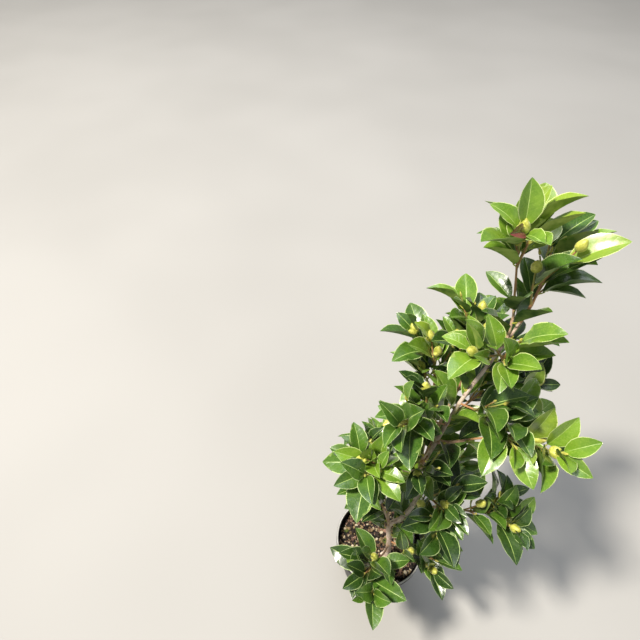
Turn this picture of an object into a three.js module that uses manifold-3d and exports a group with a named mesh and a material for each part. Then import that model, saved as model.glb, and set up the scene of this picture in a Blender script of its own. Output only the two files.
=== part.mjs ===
// Camellia shrub in a round nursery pot, in millimetres, +Z up.
// The origin is the centre of the pot's flat underside.

import * as THREE from "three";
import { mergeVertices } from "three/addons/utils/BufferGeometryUtils.js";
import Module from "manifold-3d";

const wasm = await Module();
wasm.setup();

// Driving dimensions of the pot and its soil
const POT_RIM_RADIUS = 60;
const POT_FOOT_RADIUS = 43.5;
const POT_HEIGHT = 105;
const POT_WALL = 1.3;
const POT_FLOOR = 1.6;
const RIM_BAND_HEIGHT = 11;
const RIM_BAND_STEP = 1.9;
const POT_SIDES = 40;
const DRAIN_HOLES = 6;
const DRAIN_RADIUS = 4;
const DRAIN_CIRCLE_RADIUS = 31;
const SOIL_TOP = 90;
const SOIL_SIDES = 30;
const SOIL_RINGS = 5;
const SOIL_BUMP = 1.4;
const GAP = 0.3;

// Driving dimensions of the stems, leaves and buds
const TRUNK_FOOT = [10, -15];
const TRUNK_FOOT_RADIUS = 3.9;
const TRUNK_TIP_RADIUS = 1.5;
const ROOT_FLARE = 3.2;
const ROOT_FLARE_HEIGHT = 7;
const ROOT_LOBES = 4;
const TWIG_ROOT_RADIUS = 1.15;
const TWIG_TIP_RADIUS = 0.75;
const TWIG_LENGTH = { least: 30, most: 45 };
const TWIG_LEAN = { least: 0.5, most: 0.85 };
const TWIG_RISE = 0.6;
const LEAF_LENGTH = 47;
const LEAF_WIDTH_SHARE = 0.5;
const LEAF_THICKNESS = 1.5;
const LEAF_FOLD_SHARE = 0.15;
const LEAF_WIDEST_AT = 0.43;
const LEAF_LEAN = { root: 1.1, tip: 0.6, spread: 0.14 };
const LEAF_RISE = 0.25;
const LEAF_SINK = 0.45;
const LEAF_SPACING = 11.5;
const LEAVES_START_AT = 0.2;
const FLOWER_BUD = { length: 13.5, width: 9.2 };
const FLOWERING_SHARE = 0.4;
const AXILLARY_SHARE = 0.06;
const GOLDEN_TURN = THREE.MathUtils.degToRad(137.5);

// How far foliage stays from limbs, from other leaves and from the next mass
const LIMB_CLEARANCE = 2.4;
const LEAF_CLEARANCE = 3.2;
const BLADE_MARGIN = 1.15;
const BLADE_STARTS_AT = 0.1;
const SPACE_CLEARANCE = 0.8;
const POT_CLEARANCE = 3;
const MASS_REACH = 95;

const UP = new THREE.Vector3(0, 0, 1);
const ACROSS = new THREE.Vector3(0, 1, 0);

const BARK = new THREE.MeshStandardMaterial({ color: 0xa38a78, roughness: 0.85, metalness: 0 });
const YOUNG_BARK = new THREE.MeshStandardMaterial({ color: 0xb0805a, roughness: 0.7, metalness: 0 });
const LEAF_GREEN = new THREE.MeshStandardMaterial({ color: 0x4c8a2f, roughness: 0.35, metalness: 0 });
const POT_PLASTIC = new THREE.MeshStandardMaterial({ color: 0x1f2022, roughness: 0.5, metalness: 0 });
const SOIL_GRIT = new THREE.MeshStandardMaterial({ color: 0x8a6545, roughness: 0.95, metalness: 0 });

// Repeatable chance: each mass of foliage has its own seed
class Chance {
  constructor(seed) {
    this.state = seed >>> 0;
  }

  next() {
    this.state = (Math.imul(this.state, 1664525) + 1013904223) >>> 0;
    return this.state / 4294967296;
  }

  between(low, high) {
    return low + (high - low) * this.next();
  }
}

const vector = (place) => new THREE.Vector3(...place);

// Two directions square to an axis, so that first, axis and second are right-handed
function crossAxes(axis) {
  const helper = Math.abs(axis.y) > 0.95 ? UP : ACROSS;
  const first = new THREE.Vector3().crossVectors(axis, helper).normalize();
  const second = new THREE.Vector3().crossVectors(first, axis).normalize();
  return [first, second];
}

function sideways(axis, turn) {
  const [first, second] = crossAxes(axis);
  return first.multiplyScalar(Math.cos(turn)).addScaledVector(second, Math.sin(turn));
}

// True where the line from one place to another goes through a triangle
function meets(from, to, [a, b, c]) {
  const line = new THREE.Vector3().subVectors(to, from);
  const edge = new THREE.Vector3().subVectors(b, a);
  const otherEdge = new THREE.Vector3().subVectors(c, a);
  const slant = new THREE.Vector3().crossVectors(line, otherEdge);
  const size = edge.dot(slant);
  if (Math.abs(size) < 1e-9) {
    return false;
  }
  const offset = new THREE.Vector3().subVectors(from, a);
  const first = offset.dot(slant) / size;
  const turned = offset.cross(edge);
  const second = line.dot(turned) / size;
  const along = otherEdge.dot(turned) / size;
  return first >= 0 && second >= 0 && first + second <= 1 && along >= 0 && along <= 1;
}

// Closed solids from three.js shapes
function merged(geometry) {
  geometry.deleteAttribute("normal");
  geometry.deleteAttribute("uv");
  return mergeVertices(geometry);
}

function solidOf(geometry) {
  const triVerts = new Uint32Array(geometry.index.array);
  const vertProperties = new Float32Array(geometry.attributes.position.array);
  return new wasm.Manifold(new wasm.Mesh({ numProp: 3, vertProperties, triVerts }));
}

function geometryOf(solid) {
  const mesh = solid.getMesh();
  const geometry = new THREE.BufferGeometry();
  geometry.setAttribute("position", new THREE.BufferAttribute(new Float32Array(mesh.vertProperties), 3));
  geometry.setIndex(new THREE.BufferAttribute(new Uint32Array(mesh.triVerts), 1));
  return geometry;
}

// The largest piece only: loose scraps go, and sealed hollows are filled
function largestPiece(solid) {
  const pieces = solid.decompose();
  return pieces.reduce((best, piece) => (piece.volume() > best.volume() ? piece : best));
}

function eachVertex(geometry, move) {
  const place = new THREE.Vector3();
  const positions = geometry.attributes.position;
  for (let i = 0; i < positions.count; i += 1) {
    move(place.fromBufferAttribute(positions, i));
    positions.setXYZ(i, place.x, place.y, place.z);
  }
  return geometry;
}

// A closed tapering tube: a cylinder bent along a path that gives pointAt and tangentAt
function tube(path, sides, steps, radiusAt) {
  const geometry = merged(new THREE.CylinderGeometry(1, 1, 1, sides, steps));
  return eachVertex(geometry, (place) => {
    const along = place.y + 0.5;
    const turn = Math.atan2(place.x, place.z);
    const [first, second] = crossAxes(path.tangentAt(along));
    const radius = radiusAt(along, turn);
    const bent = path.pointAt(along);
    bent.addScaledVector(first, place.x * radius);
    bent.addScaledVector(second, place.z * radius);
    place.copy(bent);
  });
}

// A limb: trunk or bough, one tapering stem through a few hand-placed points
class Limb {
  constructor(name, points, rootRadius, tipRadius) {
    this.name = name;
    this.points = points.map(vector);
    this.curve = new THREE.CatmullRomCurve3(this.points, false, "catmullrom", 0.5);
    this.rootRadius = rootRadius;
    this.tipRadius = tipRadius;
  }

  pointAt(t) {
    return this.curve.getPoint(t);
  }

  tangentAt(t) {
    return this.curve.getTangent(t);
  }

  radiusAt(t) {
    return this.rootRadius + (this.tipRadius - this.rootRadius) * t;
  }

  tipDirection() {
    const last = this.points.length - 1;
    return new THREE.Vector3().subVectors(this.points[last], this.points[last - 1]).normalize();
  }

  // The least distance from a place to the limb's bark
  distanceTo(place) {
    let least = Infinity;
    for (let step = 0; step <= Limb.STEPS_FOR_DISTANCE; step += 1) {
      const t = step / Limb.STEPS_FOR_DISTANCE;
      least = Math.min(least, place.distanceTo(this.pointAt(t)) - this.radiusAt(t));
    }
    return least;
  }
}
Limb.STEPS_FOR_DISTANCE = 48;

// A twig: a quadratic curve that leaves its parent along one direction and turns to another
class Twig {
  constructor(start, leaving, towards, length, rootRadius) {
    this.start = start;
    this.bend = start.clone().addScaledVector(leaving, length * 0.42);
    this.end = start.clone().addScaledVector(leaving, length * 0.42).addScaledVector(towards, length * 0.6);
    this.length = length;
    this.rootRadius = rootRadius;
  }

  pointAt(t) {
    const early = (1 - t) * (1 - t);
    const middle = 2 * (1 - t) * t;
    const place = this.start.clone().multiplyScalar(early);
    return place.addScaledVector(this.bend, middle).addScaledVector(this.end, t * t);
  }

  tangentAt(t) {
    const first = new THREE.Vector3().subVectors(this.bend, this.start).multiplyScalar(1 - t);
    return first.addScaledVector(new THREE.Vector3().subVectors(this.end, this.bend), t).normalize();
  }

  radiusAt(t) {
    return this.rootRadius + (TWIG_TIP_RADIUS - this.rootRadius) * t;
  }

  // A place on the two straight stretches that the twig's solid is made of
  rootAt(t) {
    const middle = this.pointAt(0.5);
    return t < 0.5 ? this.start.clone().lerp(middle, 2 * t) : middle.lerp(this.end, 2 * t - 1);
  }

  solid() {
    return solidOf(tube(this, 3, 2, (t) => this.radiusAt(t)));
  }
}

// A leaf: root, the way it points, the way its glossy face looks, and its length
class Leaf {
  constructor(root, along, face, length) {
    this.root = root;
    this.along = along;
    this.face = face;
    this.length = length;
    this.side = new THREE.Vector3().crossVectors(face, along).normalize();
  }

  // A place on the leaf: share of its length, share of its half width, and height over its face
  place(share, across, height) {
    const place = this.root.clone().addScaledVector(this.along, share * this.length);
    place.addScaledVector(this.side, (across * this.length * LEAF_WIDTH_SHARE) / 2);
    return place.addScaledVector(this.face, height);
  }

  outline() {
    const shares = [0.2, 0.35, 0.5, 0.65, 0.8, 1];
    return shares.flatMap((share) => {
      const reach = Math.sin(Math.PI * share);
      return [-1, -0.5, 0, 0.5, 1].map((across) => this.place(share, across * reach, 0));
    });
  }

  corners() {
    const lift = LEAF_FOLD_SHARE * this.length;
    return [
      this.root,
      this.place(1, 0, 0),
      this.place(LEAF_WIDEST_AT, 1, lift),
      this.place(LEAF_WIDEST_AT, -1, lift),
    ];
  }

  middle() {
    return [0.3, 0.5, 0.7, 0.9].map((share) => this.place(share, 0, 0));
  }

  // The two halves of the blade, a little widened, as triangles from near the root
  halves() {
    const lift = LEAF_FOLD_SHARE * this.length * BLADE_MARGIN;
    const near = this.place(BLADE_STARTS_AT, 0, 0);
    const tip = this.place(1, 0, 0);
    return [-1, 1].map((across) => [near, tip, this.place(LEAF_WIDEST_AT, across * BLADE_MARGIN, lift)]);
  }

  crosses(other) {
    const through = (edges, faces) =>
      edges.some(([near, tip, wide]) =>
        faces.some((face) => meets(near, tip, face) || meets(near, wide, face) || meets(wide, tip, face)),
      );
    const own = this.halves();
    const others = other.halves();
    return through(own, others) || through(others, own);
  }

  // True where a twig goes through the blade
  pierced(twig) {
    const stops = [0, 0.25, 0.5, 0.75, 1].map((t) => twig.pointAt(t));
    return this.halves().some((face) => stops.slice(1).some((stop, i) => meets(stops[i], stop, face)));
  }

  // Eight faces: an octahedron drawn out from the root, folded up along its midrib
  solid() {
    const geometry = merged(new THREE.OctahedronGeometry(1));
    const rootShare = -LEAF_SINK / this.length;
    return solidOf(
      eachVertex(geometry, (corner) => {
        const lengthwise = corner.x;
        const across = corner.y;
        const height = (corner.z * LEAF_THICKNESS) / 2 + Math.abs(across) * LEAF_FOLD_SHARE * this.length;
        const share = lengthwise > 0.5 ? 1 : lengthwise < -0.5 ? rootShare : LEAF_WIDEST_AT;
        corner.copy(this.place(share, across, height));
      }),
    );
  }
}

// A bud: a small pointed egg on the end of its twig or in the corner of a leaf
class Bud {
  constructor(root, along, size) {
    this.root = root;
    this.along = along;
    this.size = size;
  }

  solid() {
    const geometry = merged(new THREE.IcosahedronGeometry(1));
    const [first, second] = crossAxes(this.along);
    return solidOf(
      eachVertex(geometry, (corner) => {
        const { x, y, z } = corner;
        corner.copy(this.root).addScaledVector(this.along, (z * 0.5 + 0.38) * this.size.length);
        corner.addScaledVector(first, (x * this.size.width) / 2);
        corner.addScaledVector(second, (-y * this.size.width) / 2);
      }),
    );
  }
}

// A mass of foliage: twigs that branch by a seeded rule from one stem, with leaves and buds
class Foliage {
  constructor(name, limb, at, towards, length, twigs, seed) {
    this.name = name;
    this.onTip = at === 1;
    this.towards = vector(towards).normalize();
    this.twigCount = twigs;
    this.chance = new Chance(seed);
    this.leaving = this.onTip ? limb.tipDirection() : this.towards;
    this.start = limb.pointAt(at);
    if (this.onTip) {
      this.start.addScaledVector(this.leaving, GAP);
    }
    this.rootRadius = this.onTip ? limb.tipRadius : TWIG_ROOT_RADIUS;
    this.stem = new Twig(this.start, this.leaving, this.towards, length, this.rootRadius);
    this.centre = this.stem.pointAt(0.7);
    this.twigs = [this.stem];
    this.leaves = [];
    this.buds = [];
  }

  // True where a place lies inside this mass's own space
  holds(place, masses) {
    const own = place.distanceTo(this.centre);
    if (own > MASS_REACH || place.z < SOIL_TOP + POT_CLEARANCE) {
      return false;
    }
    const beyondRim = Math.hypot(place.x, place.y) > POT_RIM_RADIUS - 2 * POT_CLEARANCE;
    if (beyondRim && place.z < POT_HEIGHT + POT_CLEARANCE) {
      return false;
    }
    return masses.every((mass) => mass === this || own + SPACE_CLEARANCE < place.distanceTo(mass.centre));
  }

  clearOfLimbs(places, limbs) {
    return places.every((place) => limbs.every((limb) => limb.distanceTo(place) > LIMB_CLEARANCE));
  }

  clearOfOthers(leaf) {
    const places = leaf.middle();
    const crowded = this.leaves.some(
      (other) =>
        other.middle().some((there) => places.some((here) => here.distanceTo(there) < LEAF_CLEARANCE)) ||
        leaf.crosses(other),
    );
    return !crowded && !this.twigs.some((twig) => leaf.pierced(twig));
  }

  grow(masses, limbs) {
    for (let i = 0; i < this.twigCount; i += 1) {
      this.addTwig(i, masses, limbs);
    }
    this.twigs.forEach((twig) => this.addLeaves(twig, masses, limbs));
  }

  addTwig(index, masses, limbs) {
    const along = 0.28 + (0.55 * (index + this.chance.next())) / this.twigCount;
    const turn = index * GOLDEN_TURN + this.chance.between(-0.5, 0.5);
    const length = this.chance.between(TWIG_LENGTH.least, TWIG_LENGTH.most);
    const lean = this.chance.between(TWIG_LEAN.least, TWIG_LEAN.most);
    const root = this.stem.rootAt(along);
    const axis = this.stem.tangentAt(along);
    for (const extra of Foliage.TURNS) {
      const side = sideways(axis, turn + extra);
      const leaving = axis.clone().multiplyScalar(Math.cos(lean)).addScaledVector(side, Math.sin(lean));
      const towards = leaving.clone().addScaledVector(UP, TWIG_RISE).normalize();
      const twig = new Twig(root, leaving, towards, length, TWIG_ROOT_RADIUS * 0.9);
      const places = [0, 0.35, 0.6, 0.8, 1].map((t) => twig.pointAt(t));
      if (places.every((place) => this.holds(place, masses)) && this.clearOfLimbs(places, limbs)) {
        this.twigs.push(twig);
        return;
      }
    }
  }

  addLeaves(twig, masses, limbs) {
    const first = LEAVES_START_AT;
    const count = Math.round((twig.length * (1 - first)) / LEAF_SPACING) + 1;
    let turn = this.chance.between(0, 2 * Math.PI);
    for (let i = 0; i < count; i += 1) {
      const share = (i + 0.5) / count;
      const t = first + (0.99 - first) * share ** 0.75;
      turn += GOLDEN_TURN;
      this.addLeaf(twig, t, turn, masses, limbs);
    }
    if (this.chance.next() < FLOWERING_SHARE) {
      this.buds.push(new Bud(twig.pointAt(1), twig.tangentAt(1), FLOWER_BUD));
    }
  }

  addLeaf(twig, t, turn, masses, limbs) {
    const root = twig.rootAt(t);
    const axis = twig.tangentAt(t);
    const spread = this.chance.between(-LEAF_LEAN.spread, LEAF_LEAN.spread);
    const lean = LEAF_LEAN.root + (LEAF_LEAN.tip - LEAF_LEAN.root) * t + spread;
    const grown = 0.86 + 0.2 * Math.sin(Math.PI * Math.min(1, t + 0.1)) + this.chance.between(-0.1, 0.1);
    const roll = this.chance.between(-0.35, 0.35);
    const axillary = this.chance.next() < AXILLARY_SHARE && t > 0.5;
    for (const extra of Foliage.TURNS) {
      const side = sideways(axis, turn + extra);
      const along = axis.clone().multiplyScalar(Math.cos(lean)).addScaledVector(side, Math.sin(lean));
      along.addScaledVector(UP, LEAF_RISE).normalize();
      const face = UP.clone().multiplyScalar(0.75).addScaledVector(axis, 0.55);
      face.addScaledVector(new THREE.Vector3().crossVectors(along, UP), roll);
      face.addScaledVector(along, -face.dot(along)).normalize();
      const leaf = new Leaf(root, along, face, LEAF_LENGTH * grown);
      const inside = leaf.corners().every((place) => this.holds(place, masses));
      if (inside && this.clearOfOthers(leaf) && this.clearOfLimbs(leaf.outline(), limbs)) {
        this.leaves.push(leaf);
        if (axillary) {
          const budAlong = axis.clone().addScaledVector(side, 0.9).normalize();
          this.buds.push(new Bud(root, budAlong, FLOWER_BUD));
        }
        return;
      }
    }
  }

  // One closed solid, cut clear of the trunk where it grows from the trunk's side
  solid(trunkSleeve) {
    const parts = [...this.twigs, ...this.leaves, ...this.buds];
    const whole = parts.map((part) => part.solid()).reduce((sum, part) => sum.add(part));
    return largestPiece(this.onTip ? whole : whole.subtract(trunkSleeve));
  }
}
Foliage.TURNS = [0, 0.6, -0.6, 1.2, -1.2, 2, -2, 2.8];

// Trunk: a thin leaning stem, forked low down, that runs up through the crown
const trunk = new Limb(
  "trunk",
  [
    [...TRUNK_FOOT, SOIL_TOP + GAP],
    [...TRUNK_FOOT, SOIL_TOP + 9],
    [8.5, -10, 132],
    [4.5, -3, 170],
    [17, -2.5, 193],
    [29, 5, 222],
    [29.5, 11, 258],
    [24, 13, 292],
    [33, 21, 343],
    [40.5, 27, 380],
    [51.5, 35, 418],
    [70.5, 48.5, 455],
    [87, 61, 489],
  ],
  TRUNK_FOOT_RADIUS,
  TRUNK_TIP_RADIUS,
);
const TRUNK_SIDES = 10;
const TRUNK_STEPS = 32;

function trunkRadius(t, turn, extra) {
  const height = trunk.pointAt(t).z - SOIL_TOP;
  const flare = ROOT_FLARE * Math.exp(-height / ROOT_FLARE_HEIGHT);
  const lobes = 1 + 0.35 * Math.cos(ROOT_LOBES * turn);
  return trunk.radiusAt(t) + flare * lobes + extra;
}

function trunkSolid() {
  return solidOf(tube(trunk, TRUNK_SIDES, TRUNK_STEPS, (t, turn) => trunkRadius(t, turn, 0)));
}

const trunkSleeve = solidOf(tube(trunk, TRUNK_SIDES, TRUNK_STEPS, (t, turn) => trunkRadius(t, turn, GAP)));

// Boughs: each starts inside the trunk and is cut 0.3 mm clear of its bark
const BOUGH_SIDES = 6;
const BOUGH_STEPS = 6;
const boughs = [
  new Limb("left_bough", [[4.5, -3, 171], [-3, 1, 194], [-8, 5, 209]], 1.7, 1.25),
  new Limb("front_bough", [[8.9, -11, 124], [0, -25, 133], [-6, -32, 142]], 1.5, 1.15),
  new Limb("rear_low_bough", [[5.5, -5, 160], [2, 20, 180], [-4, 36, 197]], 1.7, 1.2),
  new Limb("right_low_bough", [[29, 5, 224], [47, -3, 230], [60, -9, 240]], 1.7, 1.2),
  new Limb("rear_left_bough", [[29.5, 11, 260], [31, 38, 300], [35, 60, 345]], 2, 1.35),
  new Limb("left_middle_bough", [[24, 13, 293], [6, 6, 307], [-6, 1, 322]], 1.6, 1.2),
  new Limb("twin_bough", [[24, 13, 297], [35, 33, 345], [49, 49, 398]], 2, 1.4),
  new Limb("right_bough", [[33, 21, 345], [48, 14, 357], [60, 10, 369]], 1.6, 1.2),
  new Limb("tall_shoot", [[77, 53, 469], [79, 62, 494], [77, 70, 512]], 1.4, 1.15),
];
const bough = Object.fromEntries(boughs.map((limb) => [limb.name, limb]));
const limbs = [trunk, ...boughs];

// Masses of foliage. Each has the limb that carries it, the share of that limb's length where its
// stem starts (1 is the tip), the way the stem grows, its length, its side twigs and its seed
const masses = [
  new Foliage("left_foliage", bough.left_bough, 1, [-0.5, 0.3, 0.8], 60, 3, 11),
  new Foliage("front_foliage", bough.front_bough, 1, [-0.55, -0.6, 0.6], 56, 3, 12),
  new Foliage("rear_low_foliage", bough.rear_low_bough, 1, [-0.35, 0.7, 0.6], 66, 3, 33),
  new Foliage("right_low_foliage", bough.right_low_bough, 1, [0.8, -0.3, 0.55], 66, 3, 14),
  new Foliage("rear_left_foliage", bough.rear_left_bough, 1, [-0.25, 0.25, 0.9], 92, 4, 15),
  new Foliage("left_middle_foliage", bough.left_middle_bough, 1, [-0.7, -0.2, 0.7], 66, 3, 16),
  new Foliage("twin_foliage", bough.twin_bough, 1, [0.05, 0.45, 0.85], 88, 4, 17),
  new Foliage("right_foliage", bough.right_bough, 1, [0.75, -0.4, 0.5], 66, 3, 18),
  new Foliage("shoot_foliage", bough.tall_shoot, 1, [-0.2, 0.2, 0.95], 66, 3, 19),
  new Foliage("leader_foliage", trunk, 1, [0.05, 0.4, 0.9], 66, 4, 20),
  new Foliage("front_right_foliage", trunk, 0.165, [0.7, -0.5, 0.5], 66, 3, 21),
  new Foliage("middle_front_foliage", trunk, 0.5, [0.2, -0.75, 0.6], 60, 3, 22),
  new Foliage("rear_right_foliage", trunk, 0.43, [0.65, 0.7, 0.3], 72, 3, 43),
  new Foliage("upper_left_foliage", trunk, 0.73, [-0.75, -0.2, 0.65], 60, 3, 24),
  new Foliage("upper_right_foliage", trunk, 0.8, [0.55, -0.7, 0.45], 60, 3, 25),
  new Foliage("upper_rear_foliage", trunk, 0.77, [0.85, 0.5, 0.2], 66, 3, 26),
  new Foliage("middle_left_foliage", trunk, 0.63, [-0.45, -0.65, 0.6], 52, 2, 27),
  new Foliage("top_front_foliage", trunk, 0.93, [-0.3, -0.75, 0.6], 50, 2, 28),
];
masses.forEach((mass) => mass.grow(masses, limbs));

// Pot: a thin tapering shell with a deeper band at its rim and drain holes in its floor
function potSolid() {
  const bandLow = POT_HEIGHT - RIM_BAND_HEIGHT;
  const wallTop = POT_RIM_RADIUS - RIM_BAND_STEP;
  const wallAt = (z) => POT_FOOT_RADIUS + ((wallTop - POT_FOOT_RADIUS) * z) / bandLow;
  const profile = [
    [0, 0],
    [POT_FOOT_RADIUS - 1.5, 0],
    [POT_FOOT_RADIUS, 1.5],
    [wallAt(bandLow - 1), bandLow - 1],
    [POT_RIM_RADIUS - 0.3, bandLow],
    [POT_RIM_RADIUS - 0.1, POT_HEIGHT - 1.2],
    [POT_RIM_RADIUS - 0.7, POT_HEIGHT],
    [POT_RIM_RADIUS - 2.1, POT_HEIGHT - 0.1],
    [POT_RIM_RADIUS - 2.5, POT_HEIGHT - 1.6],
    [wallAt(bandLow) - POT_WALL + 0.2, bandLow - 0.6],
    [wallAt(POT_FLOOR) - POT_WALL, POT_FLOOR],
    [0, POT_FLOOR],
  ];
  const outline = profile.map(([radius, z]) => new THREE.Vector2(radius, z));
  const shell = new THREE.LatheGeometry(outline, POT_SIDES);
  shell.rotateX(Math.PI / 2);
  let solid = solidOf(merged(shell));
  for (let i = 0; i < DRAIN_HOLES; i += 1) {
    const turn = (2 * Math.PI * i) / DRAIN_HOLES;
    const hole = new THREE.CylinderGeometry(DRAIN_RADIUS, DRAIN_RADIUS, 4 * POT_FLOOR, 10);
    hole.rotateX(Math.PI / 2);
    hole.translate(DRAIN_CIRCLE_RADIUS, 0, POT_FLOOR / 2);
    hole.rotateZ(turn);
    solid = solid.subtract(solidOf(merged(hole)));
  }
  return solid;
}

// Soil: a plug of grit that fills the pot to below its rim, level round the trunk's foot
function soilSolid() {
  const bandLow = POT_HEIGHT - RIM_BAND_HEIGHT;
  const wallTop = POT_RIM_RADIUS - RIM_BAND_STEP;
  const innerAt = (z) => POT_FOOT_RADIUS + ((wallTop - POT_FOOT_RADIUS) * z) / bandLow - POT_WALL;
  const low = POT_FLOOR + GAP;
  const side = 2 * GAP;
  const profile = [[0, low], [innerAt(low) - side, low], [innerAt(SOIL_TOP) - side, SOIL_TOP - SOIL_BUMP]];
  for (let ring = SOIL_RINGS - 1; ring >= 0; ring -= 1) {
    profile.push([((innerAt(SOIL_TOP) - 3) * ring) / SOIL_RINGS, SOIL_TOP]);
  }
  const outline = profile.map(([radius, z]) => new THREE.Vector2(radius, z));
  const plug = new THREE.LatheGeometry(outline, SOIL_SIDES);
  plug.rotateX(Math.PI / 2);
  return solidOf(
    eachVertex(merged(plug), (place) => {
      if (place.z < SOIL_TOP - SOIL_BUMP / 2) {
        return;
      }
      const fromFoot = Math.hypot(place.x - TRUNK_FOOT[0], place.y - TRUNK_FOOT[1]);
      const rough = Math.min(1, Math.max(0, (fromFoot - 16) / 12));
      place.z -= rough * SOIL_BUMP * (0.5 + 0.5 * Math.sin(place.x * 0.31 + 1) * Math.cos(place.y * 0.27));
    }),
  );
}

const group = new THREE.Group();
group.name = "camellia_shrub";

function addNode(name, solid, material) {
  const mesh = new THREE.Mesh(geometryOf(solid), material);
  mesh.name = name;
  group.add(mesh);
}

addNode("nursery_pot", potSolid(), POT_PLASTIC);
addNode("potting_soil", soilSolid(), SOIL_GRIT);
addNode("trunk", trunkSolid(), BARK);
boughs.forEach((limb) => {
  const whole = solidOf(tube(limb, BOUGH_SIDES, BOUGH_STEPS, (t) => limb.radiusAt(t)));
  addNode(limb.name, largestPiece(whole.subtract(trunkSleeve)), YOUNG_BARK);
});
masses.forEach((mass) => addNode(mass.name, mass.solid(trunkSleeve), LEAF_GREEN));

export default group;
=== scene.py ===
"""Camellia shrub in its round nursery pot, dressed for Blender 4.5 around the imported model.

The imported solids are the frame. Pot, soil, trunk and boughs get a finished mesh each. The masses of
foliage are grown again by the part's own seeded rule, carried on to finer twigs and leaves, and laid
into joined meshes, one for each kind and tint. Growth is worked out in millimetres, meshes in metres.
"""

import logging
from contextlib import contextmanager
from dataclasses import dataclass, field
from enum import Enum
from functools import partial
from math import atan2, cos, exp, hypot, inf, pi, radians, sin, sqrt, tan
from typing import Any, Callable, Iterator, Sequence

import bpy
import numpy as np
from bpy.types import Material, Node, NodeSocket, NodeTree, Object
from mathutils import Euler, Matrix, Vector, noise
from mathutils.bvhtree import BVHTree


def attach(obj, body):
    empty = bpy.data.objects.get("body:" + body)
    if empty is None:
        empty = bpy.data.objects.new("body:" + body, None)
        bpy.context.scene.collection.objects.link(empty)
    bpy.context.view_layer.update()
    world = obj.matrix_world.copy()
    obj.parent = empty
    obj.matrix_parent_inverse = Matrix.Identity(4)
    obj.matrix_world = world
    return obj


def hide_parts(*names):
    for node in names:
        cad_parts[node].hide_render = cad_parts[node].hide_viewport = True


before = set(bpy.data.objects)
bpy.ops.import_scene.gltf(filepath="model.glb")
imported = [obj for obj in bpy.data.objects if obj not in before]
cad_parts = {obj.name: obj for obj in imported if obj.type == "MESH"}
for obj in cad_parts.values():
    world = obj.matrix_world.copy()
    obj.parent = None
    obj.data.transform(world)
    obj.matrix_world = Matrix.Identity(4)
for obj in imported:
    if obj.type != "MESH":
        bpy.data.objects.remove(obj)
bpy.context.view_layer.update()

log = logging.getLogger("camellia_shrub")

Triple = tuple[float, float, float]
Span = tuple[float, float]
Adder = Callable[..., Node]
Inputs = dict[str, Any]
MM = 0.001
UP: Triple = (0.0, 0.0, 1.0)
ACROSS: Triple = (0.0, 1.0, 0.0)

# The pot and its soil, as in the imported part, in millimetres
POT_RIM_RADIUS = 60.0
POT_FOOT_RADIUS = 43.5
POT_HEIGHT = 105.0
POT_WALL = 1.3
POT_FLOOR = 1.6
RIM_BAND_HEIGHT = 11.0
RIM_BAND_STEP = 1.9
BAND_LOW = POT_HEIGHT - RIM_BAND_HEIGHT
DRAIN_HOLES = 6
DRAIN_RADIUS = 4.0
DRAIN_CIRCLE_RADIUS = 31.0
SOIL_TOP = 90.0

# Stems, leaves and buds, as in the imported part, in millimetres
GAP = 0.3
TRUNK_FOOT = (10.0, -15.0)
ROOT_FLARE = 3.2
ROOT_FLARE_HEIGHT = 7.0
ROOT_LOBES = 4
TWIG_ROOT_RADIUS = 1.15
TWIG_TIP_RADIUS = 0.75
TWIG_LENGTH = (30.0, 45.0)
TWIG_LEAN = (0.5, 0.85)
TWIG_RISE = 0.6
BEND_AT, BEND_REACH = 0.42, 0.6  # a twig's two straight reaches, in shares of its length
SIDE_TWIGS_FROM, SIDE_TWIGS_OVER = 0.28, 0.55  # the stretch of a stem that side twigs leave
STEM_SINK = 2.0  # how far a stem's mesh starts inside the tip that carries it
LEAF_LENGTH = 47.0
LEAF_WIDTH_SHARE = 0.5
LEAF_FOLD_SHARE = 0.15
LEAF_WIDEST_AT = 0.43
LEAF_LEAN = (1.1, 0.6)  # at the root and at the tip of a twig, in radians
LEAF_SPREAD = 0.14
LEAF_RISE = 0.25
LEAF_LEAST, LEAF_SWELL, LEAF_CHANCE = 0.86, 0.2, 0.1  # sizes at the twig's ends, more half way, by chance
LEAF_ROLL = (-0.35, 0.35)
LEAF_SPACING = 11.5
LEAVES_START_AT = 0.2
FLOWER_BUD_LENGTH = 13.5
FLOWER_BUD_WIDTH = 9.2
FLOWERING_SHARE = 0.4
AXILLARY_SHARE, AXILLARY_LEAN = 0.06, 0.9
GOLDEN_TURN = radians(137.5)
LIMB_CLEARANCE = 2.4
LEAF_CLEARANCE = 3.2
BLADE_MARGIN = 1.15
BLADE_STARTS_AT = 0.1
SPACE_CLEARANCE = 0.8
POT_CLEARANCE = 3.0
MASS_REACH = 95.0

# What only the dressed model has: spurs and small leaves that fill the shoots
FINER_SEED = 500
SPUR_LENGTH = (12.0, 20.0)
SPUR_FROM, SPURS_APART = (0.35, 0.6), 0.3  # in shares of the twig
SPUR_LEAN = (0.6, 0.95)
SPUR_LEAVES_FROM, SPUR_LEAVES_APART, SPUR_LEAF_SCALE = 0.45, 0.26, 0.72
FILL_LEAVES_FROM, FILL_LEAVES_APART, FILL_LEAF_SCALE = 0.97, 0.13, 0.84  # from the tip back
TWIN_BUD_SHARE, TWIN_BUD_LEAN, TWIN_BUD_SCALE = 0.55, 1.1, (0.7, 0.9)
NODE_BUD_SHARE = 0.75
LIMB_LEAF_SPACING = 11.0
LIMB_LEAVES_FROM = 140.0  # millimetres above the ground
LIMB_LEAF_LEAN = (0.7, 1.15)
LIMB_LEAF_SCALE = (0.78, 1.02)
BARE_NODE_BUD_SHARE = 0.6
TIP_BUD, NODE_BUD, BARE_BUD = (5, 7.5), (2.8, 4.6), (3.6, 5.2)  # lengths of growth buds
TIP_BUD_WIDTH, NODE_BUD_WIDTH, BARE_BUD_WIDTH = 2.5, 2.3, 2.4
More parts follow.
